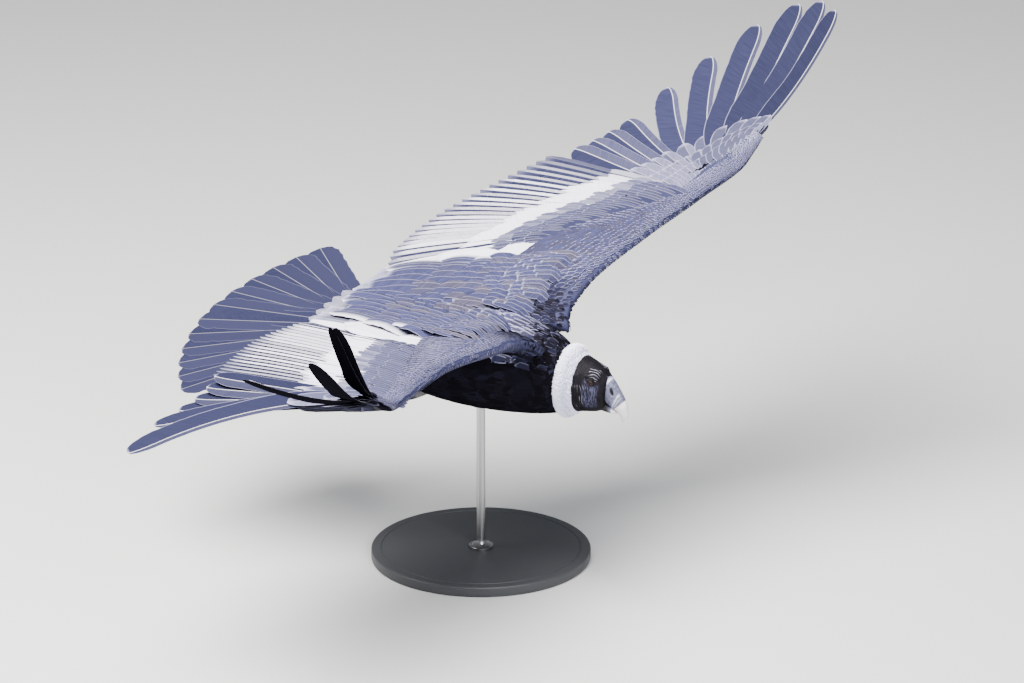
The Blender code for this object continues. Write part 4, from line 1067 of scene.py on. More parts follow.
def feather_template(name, rows, curl, lift, ridge=0.06):
    """A small feather one unit long and wide along +Y, its back to +Z, as a thin closed leaf."""
    t = np.linspace(0, 1, rows)
    half = 0.5 * base_round(t, 0.35, 0.35) * tip_round(t, 0.62, 0.06)
    height = lift * np.sin(math.pi * t * 0.8) - curl * t**2
    ring = np.array([(-1, 0.0), (0, ridge), (1, 0.0), (0, -0.3 * ridge)])
    points = np.zeros((rows, len(ring), 3))
    points[..., 0] = half[:, None] * ring[:, 0]
    points[..., 1] = t[:, None]
    points[..., 2] = height[:, None] + ring[:, 1] * np.minimum(1, half * 2)[:, None]
    flat = points.reshape(-1, 3)
    quads = capped_quads(rows, len(ring))
    if volume(flat, quads) < 0:
        quads = quads[:, ::-1]
    column, row = quads % len(ring), quads // len(ring)
    across, along = np.array([0, 0.5, 1, 0.5])[column], t[row]
    low = (column == 3).any(axis=1, keepdims=True)
    maps = {"Vane": (across, along), "Real": ((across - 0.5) * 0.03, along * 0.05),
            "OFBake": (across, np.where(low, 0.02 + 0.2 * along, 0.28 + 0.72 * along))}
    maps = {label: np.stack(pair, -1) for label, pair in maps.items()}
    blank = bpy.data.materials.new(name)
    return make_piece(name, flat, quads, blank, maps, {"under": np.tile([0, 0, 0, 1.0], rows)}, 30)


def coat_tree():
    """Sets one copy of a feather on each root, turned to its lie, and writes its place in the bake map."""
    inputs = {"Roots": "Geometry", "Feather": "Object", "Patch": "Float", "Finish": "Material"}
    tree, given = start_tree("coat", inputs)

    def stored(name):
        kind = {"data_type": "FLOAT_VECTOR"}
        return add_node(tree, "GeometryNodeInputNamedAttribute", kind, {"Name": name}).outputs["Attribute"]

    feather = add_node(tree, "GeometryNodeObjectInfo", {}, {"Object": given["Feather"]})
    turn = add_node(tree, "FunctionNodeAxesToRotation", {"primary_axis": "Z", "secondary_axis": "Y"},
                    {0: stored("out"), 1: stored("aim")})
    placed = add_node(tree, "GeometryNodeInstanceOnPoints", {},
                      {"Points": given["Roots"], "Instance": feather.outputs["Geometry"],
                       "Rotation": turn.outputs[0], "Scale": stored("size")})
    real = add_node(tree, "GeometryNodeRealizeInstances", {}, {"Geometry": placed.outputs[0]})
    patch = add_node(tree, "ShaderNodeVectorMath", {"operation": "MULTIPLY_ADD"},
                     {0: stored("OFBake"), 1: given["Patch"], 2: stored("root")})
    kept = add_node(tree, "GeometryNodeStoreNamedAttribute", {"data_type": "FLOAT2", "domain": "CORNER"},
                    {"Geometry": real.outputs[0], "Name": "OFBake", "Value": patch.outputs[0]})
    end_tree(tree, kept.outputs[0], given["Finish"])
    return tree


def coat_piece(name, roots, outs, aims, sizes, charts, template, material, patch, pale, draw):
    """One piece of small feathers from arrays of roots, by the coat's node tree."""
    mesh = bpy.data.meshes.new(name)
    mesh.from_pydata(world(roots).tolist(), [], [])
    vectors = {"out": axes(outs), "aim": axes(aims), "size": sizes,
               "root": np.column_stack([charts, np.zeros(len(charts))])}
    numbers = {"tint": draw.uniform(0, 1, len(roots)), "pale": pale}
    for kind, field, table in (("FLOAT_VECTOR", "vector", vectors), ("FLOAT", "value", numbers)):
        for label, data in table.items():
            layer = mesh.attributes.new(label, kind, "POINT")
            layer.data.foreach_set(field, np.asarray(data, np.float32).ravel())
    obj = linked(name, mesh)
    tree = bpy.data.node_groups.get("coat") or coat_tree()
    run_tree(obj, tree, {"Feather": template, "Patch": patch, "Finish": material})
    for label in vectors:
        obj.data.attributes.remove(obj.data.attributes[label])
    obj.data.set_sharp_from_angle(angle=40 * DEG)
    return obj


def staggered(rows, counts):
    """Places (row share, column share) in rows that are set off from one another."""
    places = []
    for i in range(rows):
        count = int(share_at(i / max(1, rows - 1), counts))
        for j in range(count):
            places.append(((i + 0.5) / rows, (j + 0.5 * (i % 2) + 0.25) / count))
    return np.array(places)


# Pieces


def height_angle(angle):
    """Degrees above the level of a ring's sides, from -90 under it to 90 on top, the same left and right."""
    return np.degrees(np.arctan2(np.sin(angle), np.abs(np.cos(angle))))


def head_folds(s, angle, points):
    """Height of the bare skin's folds, from 0 to 1, over stations and angles of the trunk."""
    theta = height_angle(angle)
    ahead, aside, up = np.moveaxis(points, -1, 0)
    even = np.stack([ahead, np.abs(aside + (ahead - TURN_FROM) * math.tan(HEAD_TURN)), up], -1)
    slow, quick, patchy = (rippled(even, scale, seed) for scale, seed in ((38, 11), (105, 12), (62, 13)))
    families = (
        (theta / 7.2 + 0.6 * np.sin(1.9 * s + 0.8), (38, 76, 6), (11.2, 14.2, 0.5), 1.0),
        (s * 3.2 + theta / 30, (-40, 44, 8), (9.3, 11.0, 0.35), 0.80),
        (theta / 11 - s * 1.0, (-82, -16, 8), (10.8, 13.4, 0.5), 0.30),
        (s * 3.6 + theta / 50, (50, 92, 10), (9.1, 11.0, 0.4), 0.55),
        (s * 3.4 - theta / 45, (-14, 30, 8), (12.7, 14.3, 0.3), 0.45),
        (s * 5.6 + theta / 70, (-60, 6, 12), (10.9, 12.9, 0.3), 0.50),
    )
    height = np.zeros_like(s)
    broken = np.clip(0.62 + 0.95 * patchy, 0.12, 1)
    for phase, around, along, strength in families:
        crest = (0.5 + 0.5 * np.cos(FULL_TURN * (phase + 0.85 * slow + 0.34 * quick))) ** 3.2
        height = np.maximum(height, strength * crest * window(theta, *around) * window(s, *along))
    return height * broken


class CONDOR_OT_skin(bpy.types.Operator):
    """One skin over the trunk, neck, head and both wings, with the head's folds and lids"""
    bl_idname = "condor.skin"
    bl_label = "Skin"

    def execute(self, context):
        p, h = context.scene.condor_plumage, context.scene.condor_head
        s, angle = np.meshgrid(TRUNK_STATIONS, circle(SKIN_COLUMNS), indexing="ij")
        theta = height_angle(angle)
        bare = np.clip((s - HEAD_START) / 0.25, 0, 1)
        roll = window(s, RUFF_START + 0.35, HEAD_START - 0.35, 0.4)
        grow = -COAT_DEPTH * (1 - bare) * np.clip(s / 0.5, 0.3, 1) + RUFF_ROLL * roll
        points, normals = trunk_at(s, angle, grow), trunk_normal(s, angle)
        folds = head_folds(s, angle, points) * bare
        rear = COATED_RINGS
        grain = rippled(points[rear:], 260, 3) * 0.5 + rippled(points[rear:], 700, 9) * 0.3
        height = folds * h.fold_height
        height[rear:] += grain * GRAIN_HEIGHT * bare[rear:]
        # The folds' height is also the mask of the painted highlight on their crests
        points, pale = points + normals * height[..., None], folds
        for side in SIDES.values():
            points, pale = self.set_lids(points, pale, side)
        ear = np.exp(-np.hypot((s - EAR[0]) / EAR_SIZE[0], (theta - EAR[1]) / EAR_SIZE[1]) ** 2)
        points -= normals * (ear * EAR_DEPTH)[..., None]
        blue = window(theta, -22, 16, 24) * window(s, 11.1, 12.5, 0.7)
        values = {"pale": pale, "blue": blue, "bare": bare, "ear": ear, "down": roll,
                  "slate": window(theta, 35, 95, 15) * (1 - bare) * window(s, -1, 6.3, 1.0)}
        finish = self.finish(p, h)
        skin = loft_piece("skin", points, finish, values, CHARTS["trunk"], 0)
        self.join_arms(skin, [self.arm(Wing(name), finish) for name in SIDES])
        nodes = [f"wing_{name}_{part}" for name in SIDES for part in ("arm", "hand", "tip")]
        dress(skin, "bare_skin", "torso", "neck", "head", *nodes)
        return {"FINISHED"}

    def join_arms(self, skin, arms):
        """Joins the wings' flesh to the trunk's skin, which becomes one surface."""
        alone = len(skin.data.vertices)
        group = bpy.data.collections.new("arms")
        for arm in arms:
            group.objects.link(arm)
        union = skin.modifiers.new("arms", "BOOLEAN")
        union.operation, union.operand_type, union.collection = "UNION", "COLLECTION", group
        union.solver = "MANIFOLD"
        keep_evaluated(skin)
        for arm in arms:
            bpy.data.objects.remove(arm)
        bpy.data.collections.remove(group)
        if len(skin.data.vertices) <= alone:
            raise RuntimeError("The wings' flesh couldn't be joined to the trunk's skin")

    def set_lids(self, points, pale, side):
        """Sinks the skin inside the eyeball and raises a rim round it, with a brow and a bag."""
        centre, way = turned(EYE * (1, side, 1)), unit(EYE_WAY * (1, side, 1))
        forward = np.array([1.0, 0, -0.25])
        ahead = unit(forward - way * (forward @ way))
        up = np.cross(ahead, way) * side
        away = points - centre
        x, y, z = away @ ahead, away @ up, away @ way
        r, reach = np.hypot(x, y), np.hypot(x / EYE_OPENING[0], (y + 0.0002) / EYE_OPENING[1])
        near = (z > -0.004) & (r < 0.022)
        deep, wide = EYE_RADIUS - 0.0014, EYE_RADIUS + 0.0010
        inside = np.sqrt(np.maximum(deep**2 - np.minimum(r, deep * 0.98) ** 2, 0))
        ball = np.sqrt(np.maximum(wide**2 - np.minimum(r, EYE_RADIUS) ** 2, 0))
        rim = window(reach, 1.0, 1.28, 0.35)
        brow = np.exp(-(((y - 0.0125) / 0.003) ** 2)) * window(x, -0.016, 0.012, 0.006)
        bag = np.exp(-(((r - 0.0158) / 0.0024) ** 2)) * (y < 0)
        lid = np.maximum(z, ball) + LID_HEIGHT
        raised = z + (lid - z) * rim * (reach >= 1) + brow * BROW_HEIGHT + bag * BAG_HEIGHT
        set_z = np.where(reach < 1, np.minimum(z, inside), raised)
        moved = points + way * (set_z - z)[..., None]
        # The raised rim, brow and bag get more of the painted highlight
        pale = np.where(near, np.clip(pale + rim * 0.10 + brow * 0.25 + bag * 0.22, 0, 1), pale)
        return np.where(near[..., None], moved, points), pale

    def arm(self, wing, finish):
        """The flesh of one wing, without its feathers, as a closed body."""
        x = (1 - np.cos(np.linspace(0, math.pi, ARM_COLUMNS))) / 2
        rings = []
        for s in np.linspace(0.02, 1.98, ARM_RINGS):
            top, low = (wing.flesh(np.full(ARM_COLUMNS, s), x, up, -COAT_DEPTH / 2) for up in (True, False))
            rings.append(np.concatenate([top, low[-2:0:-1]]))
        slate = np.concatenate([np.ones(ARM_COLUMNS), np.interp(x[-2:0:-1], (0.12, 0.25), (1, 0))])
        values = {key: np.zeros((ARM_RINGS, len(slate))) for key in ("pale", "blue", "bare", "ear", "down")}
        values["slate"] = np.tile(slate, (ARM_RINGS, 1))
        return loft_piece("arm", rings, finish, values, CHARTS[wing.name], 0)

    def finish(self, p, h):
        made = Finish("skin", Roughness=0.55, Specular_IOR_Level=0.06)
        place = made.place()
        bare, blue = made.value("bare"), made.value("blue")
        grain = made.noise(place, 420, 3.0)
        patches = made.noise(place, 60)
        # crest masks the painted highlight on the tops of the folds
        crest = made.step(made.value("pale") + (patches - 0.5) * 0.4, 0.48, 0.95)
        skin = made.mix(made.step(patches, 0.35, 0.8) * 0.5, h.skin, (0.014, 0.012, 0.017))
        long = made.node("ShaderNodeMapping", {}, {"Vector": place, "Scale": (480, 480, 60)})
        streaks = made.step(made.noise(long, 1.0), 0.32, 0.68)
        skin = made.mix(blue * made.step(streaks + (patches - 0.5) * 0.6, 0.05, 1.05) * 0.9, skin, h.cheek)
        skin = made.mix(crest * 0.80, skin, h.crest)
        # Painted shade: the ear's sunk hollow is painted near black
        skin = made.mix(made.value("ear") * 0.9, skin, (0.006, 0.005, 0.006))
        feathered = made.mix(made.value("slate"), p.black, made.mix(0.5, p.slate_dark, p.slate))
        feathered = made.mix(made.value("down"), feathered, p.down)
        made.feed("Base Color", made.mix(bare, feathered, skin))
        made.bump(grain, 0.35, 0.0008)
        return made.material


class CONDOR_OT_eyes(bpy.types.Operator):
    """Both eyes: a dark ball with a red ring round its pupil, under a clear wet coat"""
    bl_idname = "condor.eyes"
    bl_label = "Eyes"

    def execute(self, context):
        h = context.scene.condor_head
        rows, columns = 26, 40
        for name, side in SIDES.items():
            centre, way = turned(EYE * (1, side, 1)), unit(EYE_WAY * (1, side, 1))
            aside, up = cross_ways(way)
            away, turn = np.linspace(0.02, math.pi - 0.02, rows), circle(columns)[:, None]
            out = np.cos(away)[:, None, None] * way
            around = aside * np.cos(turn) + up * np.sin(turn)
            rings = centre + EYE_RADIUS * (out + np.sin(away)[:, None, None] * around)
            values = {"ring": np.tile(away[:, None], (1, columns))}
            ball = loft_piece(f"eye_{name}_ball", rings, self.finish(name, h), values, None, 0)
            dress(ball, "eye", f"eye_{name}")
        return {"FINISHED"}

    def finish(self, name, h):
        made = Finish(f"eye_{name}", Roughness=0.35, Specular_IOR_Level=0.2, Coat_Weight=0.10,
                      Coat_Roughness=0.10)
        ring = made.value("ring")
        grain = made.noise(made.place(), 900)
        iris = made.mix(0.70 + grain * 0.3, h.iris, (0.012, 0.003, 0.002))
        colour = made.mix(made.step(ring, 0.30, 0.36), (0.002, 0.002, 0.002), iris)
        made.feed("Base Color", made.mix(made.step(ring, 0.78, 0.86), colour, (0.012, 0.008, 0.008)))
        return made.material


class CONDOR_OT_bill(bpy.types.Operator):
    """Hooked upper bill with its cere and nostrils, and the lower bill under it"""
    bl_idname = "condor.bill"
    bl_label = "Bill"

    def execute(self, context):
        finish = self.finish(context.scene.condor_head)
        pieces = ("bill_upper", UPPER_BILL, 110, 72), ("bill_lower", LOWER_BILL, 50, 56)
        for name, table, rows, columns in pieces:
            upper = table is UPPER_BILL
            s, angle = np.meshgrid(np.linspace(0, len(table) - 1, rows), circle(columns), indexing="ij")
            points = turned(section(smooth(s, range(len(table)), table), angle, 0.0, BILL_SQUARENESS))
            theta = height_angle(angle) * DEG
            out = unit(points - points.mean(axis=1, keepdims=True))
            cere = window(s, -1, 3.0, 0.5) if upper else window(s, -1, 2.3, 0.6)
            lift = 0.00025 * rippled(points, 300, 5) * cere
            if upper:
                groove = np.exp(-((theta + 52 * DEG) / 0.16) ** 2) * window(s, -1, 4.2, 0.6)
                ahead = s - NOSTRIL[0]
                around = theta - NOSTRIL[1] + 0.25 * ahead
                slot = np.hypot(ahead / NOSTRIL_SIZE[0], around / NOSTRIL_SIZE[1])
                # Painted shade: the nostril's slot is sunk and painted near black
                dark = window(slot, -1, 0.75, 0.35)
                raised = window(s, -1, 3.1, 0.15) + np.exp(-((slot - 1.25) / 0.25) ** 2)
                lift = lift + CERE_HEIGHT * raised - GROOVE_DEPTH * groove - NOSTRIL_DEPTH * dark
            else:
                dark = 0.95 * window(s, -1, 1.8, 0.8)
            points = points + out * lift[..., None]
            place = s + 0.15 * np.sin(2 * theta) + 0.12 * rippled(points, 140, 6)
            loop = 0.8 * np.exp(-((place - 0.95) / 0.10) ** 2) * window(theta, -0.7, 1.5, 0.2)
            bars = np.exp(-((place - 2.66) / 0.08) ** 2) + 0.7 * np.exp(-((place - 2.94) / 0.06) ** 2)
            fold = np.maximum(loop, 0.75 * bars * window(theta, -0.9, 1.0, 0.3)) * upper
            values = {"cere": cere, "dark": dark, "edge": window(theta, -2, -55 * DEG, 0.25), "fold": fold}
            dress(loft_piece(name + "_horn", points, finish, values, None, 0), "bill_horn", name)
        return {"FINISHED"}

    def finish(self, h):
        made = Finish("bill", Roughness=0.38, Specular_IOR_Level=0.35)
        place = made.place()
        grain = made.noise(place, 260, 3.0)
        fine = made.noise(place, 900)
        cere = made.step(made.value("cere") + (grain - 0.5) * 0.35, 0.3, 0.75)
        horn = made.mix(grain * 0.55, h.horn, (0.50, 0.47, 0.46))
        horn = made.mix(made.value("edge") * 0.45, horn, (0.20, 0.18, 0.19))
        skin = made.mix(made.step(fine, 0.40, 0.70) * 0.7, h.cere, (0.17, 0.17, 0.27))
        mottled = made.step(made.noise(place, 130), 0.48, 0.62)
        skin = made.mix(mottled * 0.55, skin, (0.030, 0.030, 0.055))
        skin = made.mix(made.value("fold"), skin, (0.62, 0.62, 0.76))
        # dark paints the nostrils near black as painted shade, and darkens the lower bill towards its root
        colour = made.mix(made.value("dark"), made.mix(cere, horn, skin), (0.004, 0.004, 0.004))
        made.feed("Base Color", colour)
        made.feed("Roughness", 0.30 + cere * 0.25)
        made.bump(fine, 0.2, 0.0005)
        return made.material


def fine_shares(number):
    """Places along a feather, closer together at its tip."""
    t = np.linspace(0, 1, number)
    return 1 - (1 - t) ** 1.35


class Ground:
    """The skin as the feathers' ground: its height under any point of the bird's level frame."""

    def __init__(self):
        mesh = bpy.data.objects["skin"].data
        points = np.zeros(len(mesh.vertices) * 3, np.float32)
        mesh.vertices.foreach_get("co", points)
        faces = [tuple(face.vertices) for face in mesh.polygons]
        self.tree = BVHTree.FromPolygons([Vector(p) for p in level(points.reshape(-1, 3))], faces)

    def height(self, point):
        """Height of the skin over or under a point, or a metre down beside it."""
        hit = self.tree.ray_cast(Vector((point[0], point[1], 1.0)), Vector((0, 0, -1)))[0]
        return hit.z if hit else -1.0

    def slope(self, line, reach=0.025):
        """The way out of the ground under a line, turned only sideways."""
        rises = []
        for point in line[len(line) // 3::3]:
            ends = [max(self.height(point + (0, way, 0)), point[2] - 0.030) for way in (-reach, reach)]
            rises.append((ends[1] - ends[0]) / (2 * reach))
        return unit(np.array([0, -np.clip(np.mean(rises), -0.5, 0.5), 1.0]))

    def settle(self, line, clear):
        """The line raised, where it has to be, to lie clear of the skin by as much at each point."""
        low = np.array([self.height(point) for point in line]) + clear
        gap = line[:, 2] - low
        settled = line.copy()
        settled[:, 2] = (line[:, 2] + low + np.sqrt(gap**2 + 0.004**2)) / 2
        return settled, unit(np.gradient(settled, axis=0))


class CONDOR_OT_flight(bpy.types.Operator):
    """Primaries and secondaries of both wings, with their tiers of long coverts"""
    bl_idname = "condor.flight"
    bl_label = "Flight feathers"

    def execute(self, context):
        p = context.scene.condor_plumage
        slate, banded, white, covert, median = (
            vane_finish(name, p, webs, rim, rim_from, shaft, tip_from=tip_from)
            for name, webs, rim, rim_from, shaft, tip_from in (
                ("primary_vanes", slate_webs(p, 0.30, 0.04, 0.14), 0.45, 0.95, 0.75, 0.985),
                ("secondary_vanes", banded_webs(p, 0.60), 0.15, 0.96, 0.10, 0.90),
                ("band_vanes", banded_webs(p, 0.0), 0.10, 0.96, 0.10, 0.90),
                ("covert_vanes", slate_webs(p, 0.2, 0.10), 0.55, 0.88, 0.30, 0.90),
                ("median_vanes", slate_webs(p, 0.3, 0.0, 0.12), 0.50, 0.88, 0.15, 0.955),
            )
        )
        for wing in map(Wing, SIDES):
            dress(self.primaries(wing).piece(slate), "grey_plumage")
            dress(self.primary_coverts(wing).piece(covert), "grey_plumage")
            dress(self.secondaries(wing).piece(banded), "grey_plumage")
            dress(self.greater(wing).piece(white), "white_down")
            dress(self.median(wing).piece(median), "grey_plumage")
        return {"FINISHED"}

    def primaries(self, wing):
        vanes = Vanes(f"primaries_{wing.name}", SEED)
        shares = fine_shares(34)
        for k in range(1, PRIMARIES + 1):
            line, aims = wing.primary(k, shares)
            finger = float(window(k, FINGER_FROM, 2 * PRIMARIES, 2))
            outer, inner = (float(stops(k, table)) for table in (PRIMARY_OUTER, PRIMARY_INNER))
            webs = outer * (1 - 0.45 * finger), inner * (1 + 0.10 * finger)
            notch = (*FINGER_SPLIT, FINGER_NOTCH if k >= FINGER_FROM else 1.0)
            edge_on = wing.side < 0 and k >= NEAR_FINGERS
            # Painted shade: the right wing's primaries short of its edge-on fingers are darker than the left
            # wing's
            pale = share_at(k, PRIMARY_PALE) - NEAR_PAINTED_SHADE * (wing.side < 0 and not edge_on)
            tilt = wing.hand_tilt(k) + wing.angles(k, PRIMARY_TWIST)[0] * shares
            camber = 0.04 if edge_on else 0.12
            vanes.add(line, aims, wing.hand_up(k), wing.side, tilt, webs, (0.87, 0.36, 0.25), shares, notch,
                      pale, thick=0.0009, camber=camber, shaft=0.0014, ragged=0.012, lean=0.7)
        return vanes

    def primary_coverts(self, wing):
        vanes = Vanes(f"primary_coverts_{wing.name}", SEED + 1)
        shares = fine_shares(16)
        for part, raised, wide, step in PRIMARY_COVERT_TIERS:
            for k in np.arange(1, PRIMARIES + 0.3, step):
                line, aims = wing.primary(k, shares, part * float(stops(k, PRIMARY_COVERT)), raised)
                line = line - wing.hand_up(k) * (max(0.0, raised) * (1 - shares) ** 2)[:, None]
                webs = stops(k, PRIMARY_OUTER) * 0.85 * wide, stops(k, PRIMARY_INNER) * 0.62 * wide
                vanes.add(line, aims, wing.hand_up(k), wing.side, wing.hand_tilt(k), webs, (0.72, 0.5, 0.3),
                          shares, pale=0.04, shaft=0.0009)
        return vanes

    def secondaries(self, wing):
        vanes = Vanes(f"secondaries_{wing.name}", SEED + 2)
        shares = fine_shares(22)
        for j in range(SECONDARIES):
            t = (j + FIRST_PLACE) / SECONDARIES
            line, aims = wing.secondary(t, shares * 0.96, 0.04)
            webs = share_at(t, SECONDARY_OUTER), SECONDARY_INNER
            vanes.add(line, aims, wing.row_up(t), wing.side, ARM_TILT, webs, (0.84, 0.20, 0.6), shares,
                      pale=share_at(t, SECONDARY_PALE), camber=0.14, ragged=0.04)
        return vanes

    def greater(self, wing):
        vanes = Vanes(f"greater_coverts_{wing.name}", SEED + 3)
        shares = fine_shares(16)
        part, spread = GREATER_REACH
        for j in range(GREATER_COVERTS):
            t = (j + FIRST_PLACE) / GREATER_COVERTS
            reach = part + spread * vanes.draw.uniform(-1, 1)
            line, aims = wing.secondary(t, shares, 0.02, reach, GREATER_HEIGHT)
            pale = share_at(t, GREATER_PALE) * np.interp(shares, (0, 0.25, 1), (0.8, 1, 1.15))
            vanes.add(line, aims, wing.row_up(t), wing.side, ARM_TILT, GREATER_WEBS, (0.76, 0.20, 0.6),
                      shares, pale=pale, camber=0.12, shaft=0.0009, ragged=0.04)
        return vanes

    def median(self, wing):
        vanes = Vanes(f"median_coverts_{wing.name}", SEED + 4)
        shares = fine_shares(13)
        for row, (part, start, raised, wide, count, shade) in enumerate(MEDIAN_ROWS):
            for j in range(count):
                t = (j + FIRST_PLACE * (1 + row % 2)) / count * 1.02
                part_here = part + 0.014 * vanes.draw.uniform(-1, 1)
                begin = start + 0.025 * vanes.draw.uniform(-1, 1)
                up = wing.row_up(min(t, 1))
                line, aims = wing.secondary(min(t, 1.05), shares, begin, part_here, raised)
                line = line - up * (MEDIAN_SINK * (1 - shares) ** 2)[:, None]
                pale = shade + 0.10 * vanes.draw.uniform(-1, 1)
                vanes.add(line, aims, up, wing.side, ARM_TILT, (wide * 0.9, wide), (0.60, 0.2, 0.6), shares,
                          pale=pale, camber=0.14, shaft=0.0006, ragged=0.06)
        return vanes


class CONDOR_OT_mantle(bpy.types.Operator):
    """Tertials and long shoulder feathers that stream back over the rump, and the tail"""
    bl_idname = "condor.mantle"
    bl_label = "Mantle and tail"

    def execute(self, context):
        p = context.scene.condor_plumage
        below = p.slate_dark, p.slate
        slate = vane_finish("tertial_vanes", p, slate_webs(p, 0.25, 0.05), 0.45, 0.92, 0.3, below=below)
        worn = vane_finish("scapular_vanes", p, self.worn_webs(p), 0.50, 0.90, 0.20, below=below)
        tail = vane_finish("tail_vanes", p, slate_webs(p, 0.12, 0.0, 0.06), 0.15, 0.95, 0.22, tip_from=0.985)
        ground = Ground()
        for wing in map(Wing, SIDES):
            dress(self.tertials(wing, ground).piece(slate), "grey_plumage")
            dress(self.scapulars(wing, ground).piece(worn), "grey_plumage")
        dress(self.tail().piece(tail), "grey_plumage", "tail")
        return {"FINISHED"}

    def worn_webs(self, p):
        """Slate to brown webs, with white towards the edges of the pale ones."""
        def webs(made, outer, pale, tint, streak, along, offset):
            grey = made.mix(made.step(tint, 0.55, 1.1), p.slate, p.brown)
            grey = made.mix(streak * 0.55 + (1 - outer) * 0.15, grey, p.slate_dark)
            return made.mix(pale * made.step(offset, 0.2, 0.9), grey, p.white)
        return webs

    def tertials(self, wing, ground):
        """Long inner feathers between the secondaries and the back."""
        vanes = Vanes(f"tertials_{wing.name}", SEED + 5)
        shares = fine_shares(20)
        for tier in TERTIALS:
            (part, spread), (white_ones, white) = tier["part"], tier["white"]
            for j in range(tier["count"]):
                reach = part + spread * vanes.draw.uniform(-1, 1) if spread else part
                line, aims = wing.tertial((j + 0.3) / tier["count"], shares * reach)
                line[:, 2] += tier["raised"] + tier["stack"] * (j % 3) - TERTIAL_SINK * (1 - shares) ** 2
                line, aims = ground.settle(line, np.interp(shares, (0, 0.3, 1), tier["clear"]))
                pale = white if j < white_ones else 0.05 + tier["grey"] * vanes.draw.uniform()
                vanes.add(line, aims, ground.slope(line), wing.side, ARM_TILT, tier["webs"],
                          (tier["round_from"], 0.2, 0.6), shares, pale=pale, camber=0.14, shaft=tier["shaft"],
                          ragged=0.03)
        return vanes

    def scapulars(self, wing, ground):
        """Shoulder and back feathers in rows, small ones over the roots of the long ones."""
        vanes = Vanes(f"scapulars_{wing.name}", SEED + 6)
        shares = fine_shares(14)
        for row, (start, reach, count, wide) in enumerate(SCAPULAR_ROWS):
            for j in range(count):
                t = (j + 0.5 + 0.25 * (-1) ** row) / count * SCAPULAR_SPREAD
                reached = reach * (1 + 0.12 * vanes.draw.uniform(-1, 1))
                begin = start + 0.045 * vanes.draw.uniform(-1, 1)
                line, aims = wing.scapular(t, shares, begin, reached)
                line[:, 2] -= (0.020 + 0.1 * max(0.0, -begin)) * (1 - shares) ** 2
                lift = (0.0065 + 0.0012 * row + 0.003 * vanes.draw.uniform()) * min(1.0, 0.35 + 2.0 * t)
                clear = np.interp(shares, (0, 0.35, 1), (-0.004, lift, lift + 0.002))
                line, aims = ground.settle(line, clear)
                here = wide * (1 + 0.12 * vanes.draw.uniform(-1, 1))
                white = row < 3 and (t < WHITE_OUTER_SHARE or vanes.draw.uniform() > 1 - WHITE_CHANCE)
                vanes.add(line, aims, ground.slope(line), wing.side, ARM_TILT, (here, here * 1.15),
                          (0.66, 0.25, 0.5), shares, pale=0.75 * white, camber=0.22, shaft=0.0007,
                          ragged=0.05)
        return vanes

    def tail(self):
        """Twelve tail feathers in a fan, the middle ones on top, and two rows of coverts over their roots."""
        vanes = Vanes("tail_feathers", SEED + 7)
        up = unit(np.append(-TAIL_FALL, 1.0))

        def fanned(start, place, half_fan, lift, length, shares):
            side = 1 if place >= 0 else -1
            sweep = abs(place) * half_fan - math.pi / 2
            line, aims = feather_line(start, sweep, lift, 0, 0, length, side, shares)
            line[:, 2] += (line[:, :2] - TAIL_ROOT[:2]) @ TAIL_FALL
            return line, aims, up, side

        middle = (TAIL_FEATHERS - 1) / 2
        shares = 0.05 + 0.95 * fine_shares(30)
        for k in range(TAIL_FEATHERS):
            place = 1 - k / middle
            drop = TAIL_STACK * (abs(k - middle) - middle / 2)
            start = TAIL_ROOT + (-0.020, place * TAIL_ROOT_SPREAD, -drop)
            length = np.interp(abs(place), (0, 1), TAIL_LENGTH)
            vanes.add(*fanned(start, place, TAIL_HALF_FAN, 0, length, shares), TAIL_TILT, TAIL_WEBS,
                      (0.90, 0.3, 0.5), shares, pale=TAIL_PALE, thick=0.0009, camber=0.01, shaft=0.0012,
                      ragged=0.04)
        shares = fine_shares(14)
        for row, (reach, count, raised) in enumerate(TAIL_COVERT_ROWS):
            for k in range(count):
                place = 1 - 2 * k / (count - 1)
                start = TAIL_ROOT + (0.030 * row, place * TAIL_COVERT_SPREAD, raised + 0.014)
                vanes.add(*fanned(start, place, TAIL_COVERT_FAN, -4 * DEG, reach, shares), 4 * DEG,
                          TAIL_COVERT_WEBS, (0.68, 0.25, 0.5), shares, pale=0.2, camber=0.18, shaft=0.0008,
                          ragged=0.04)
        return vanes


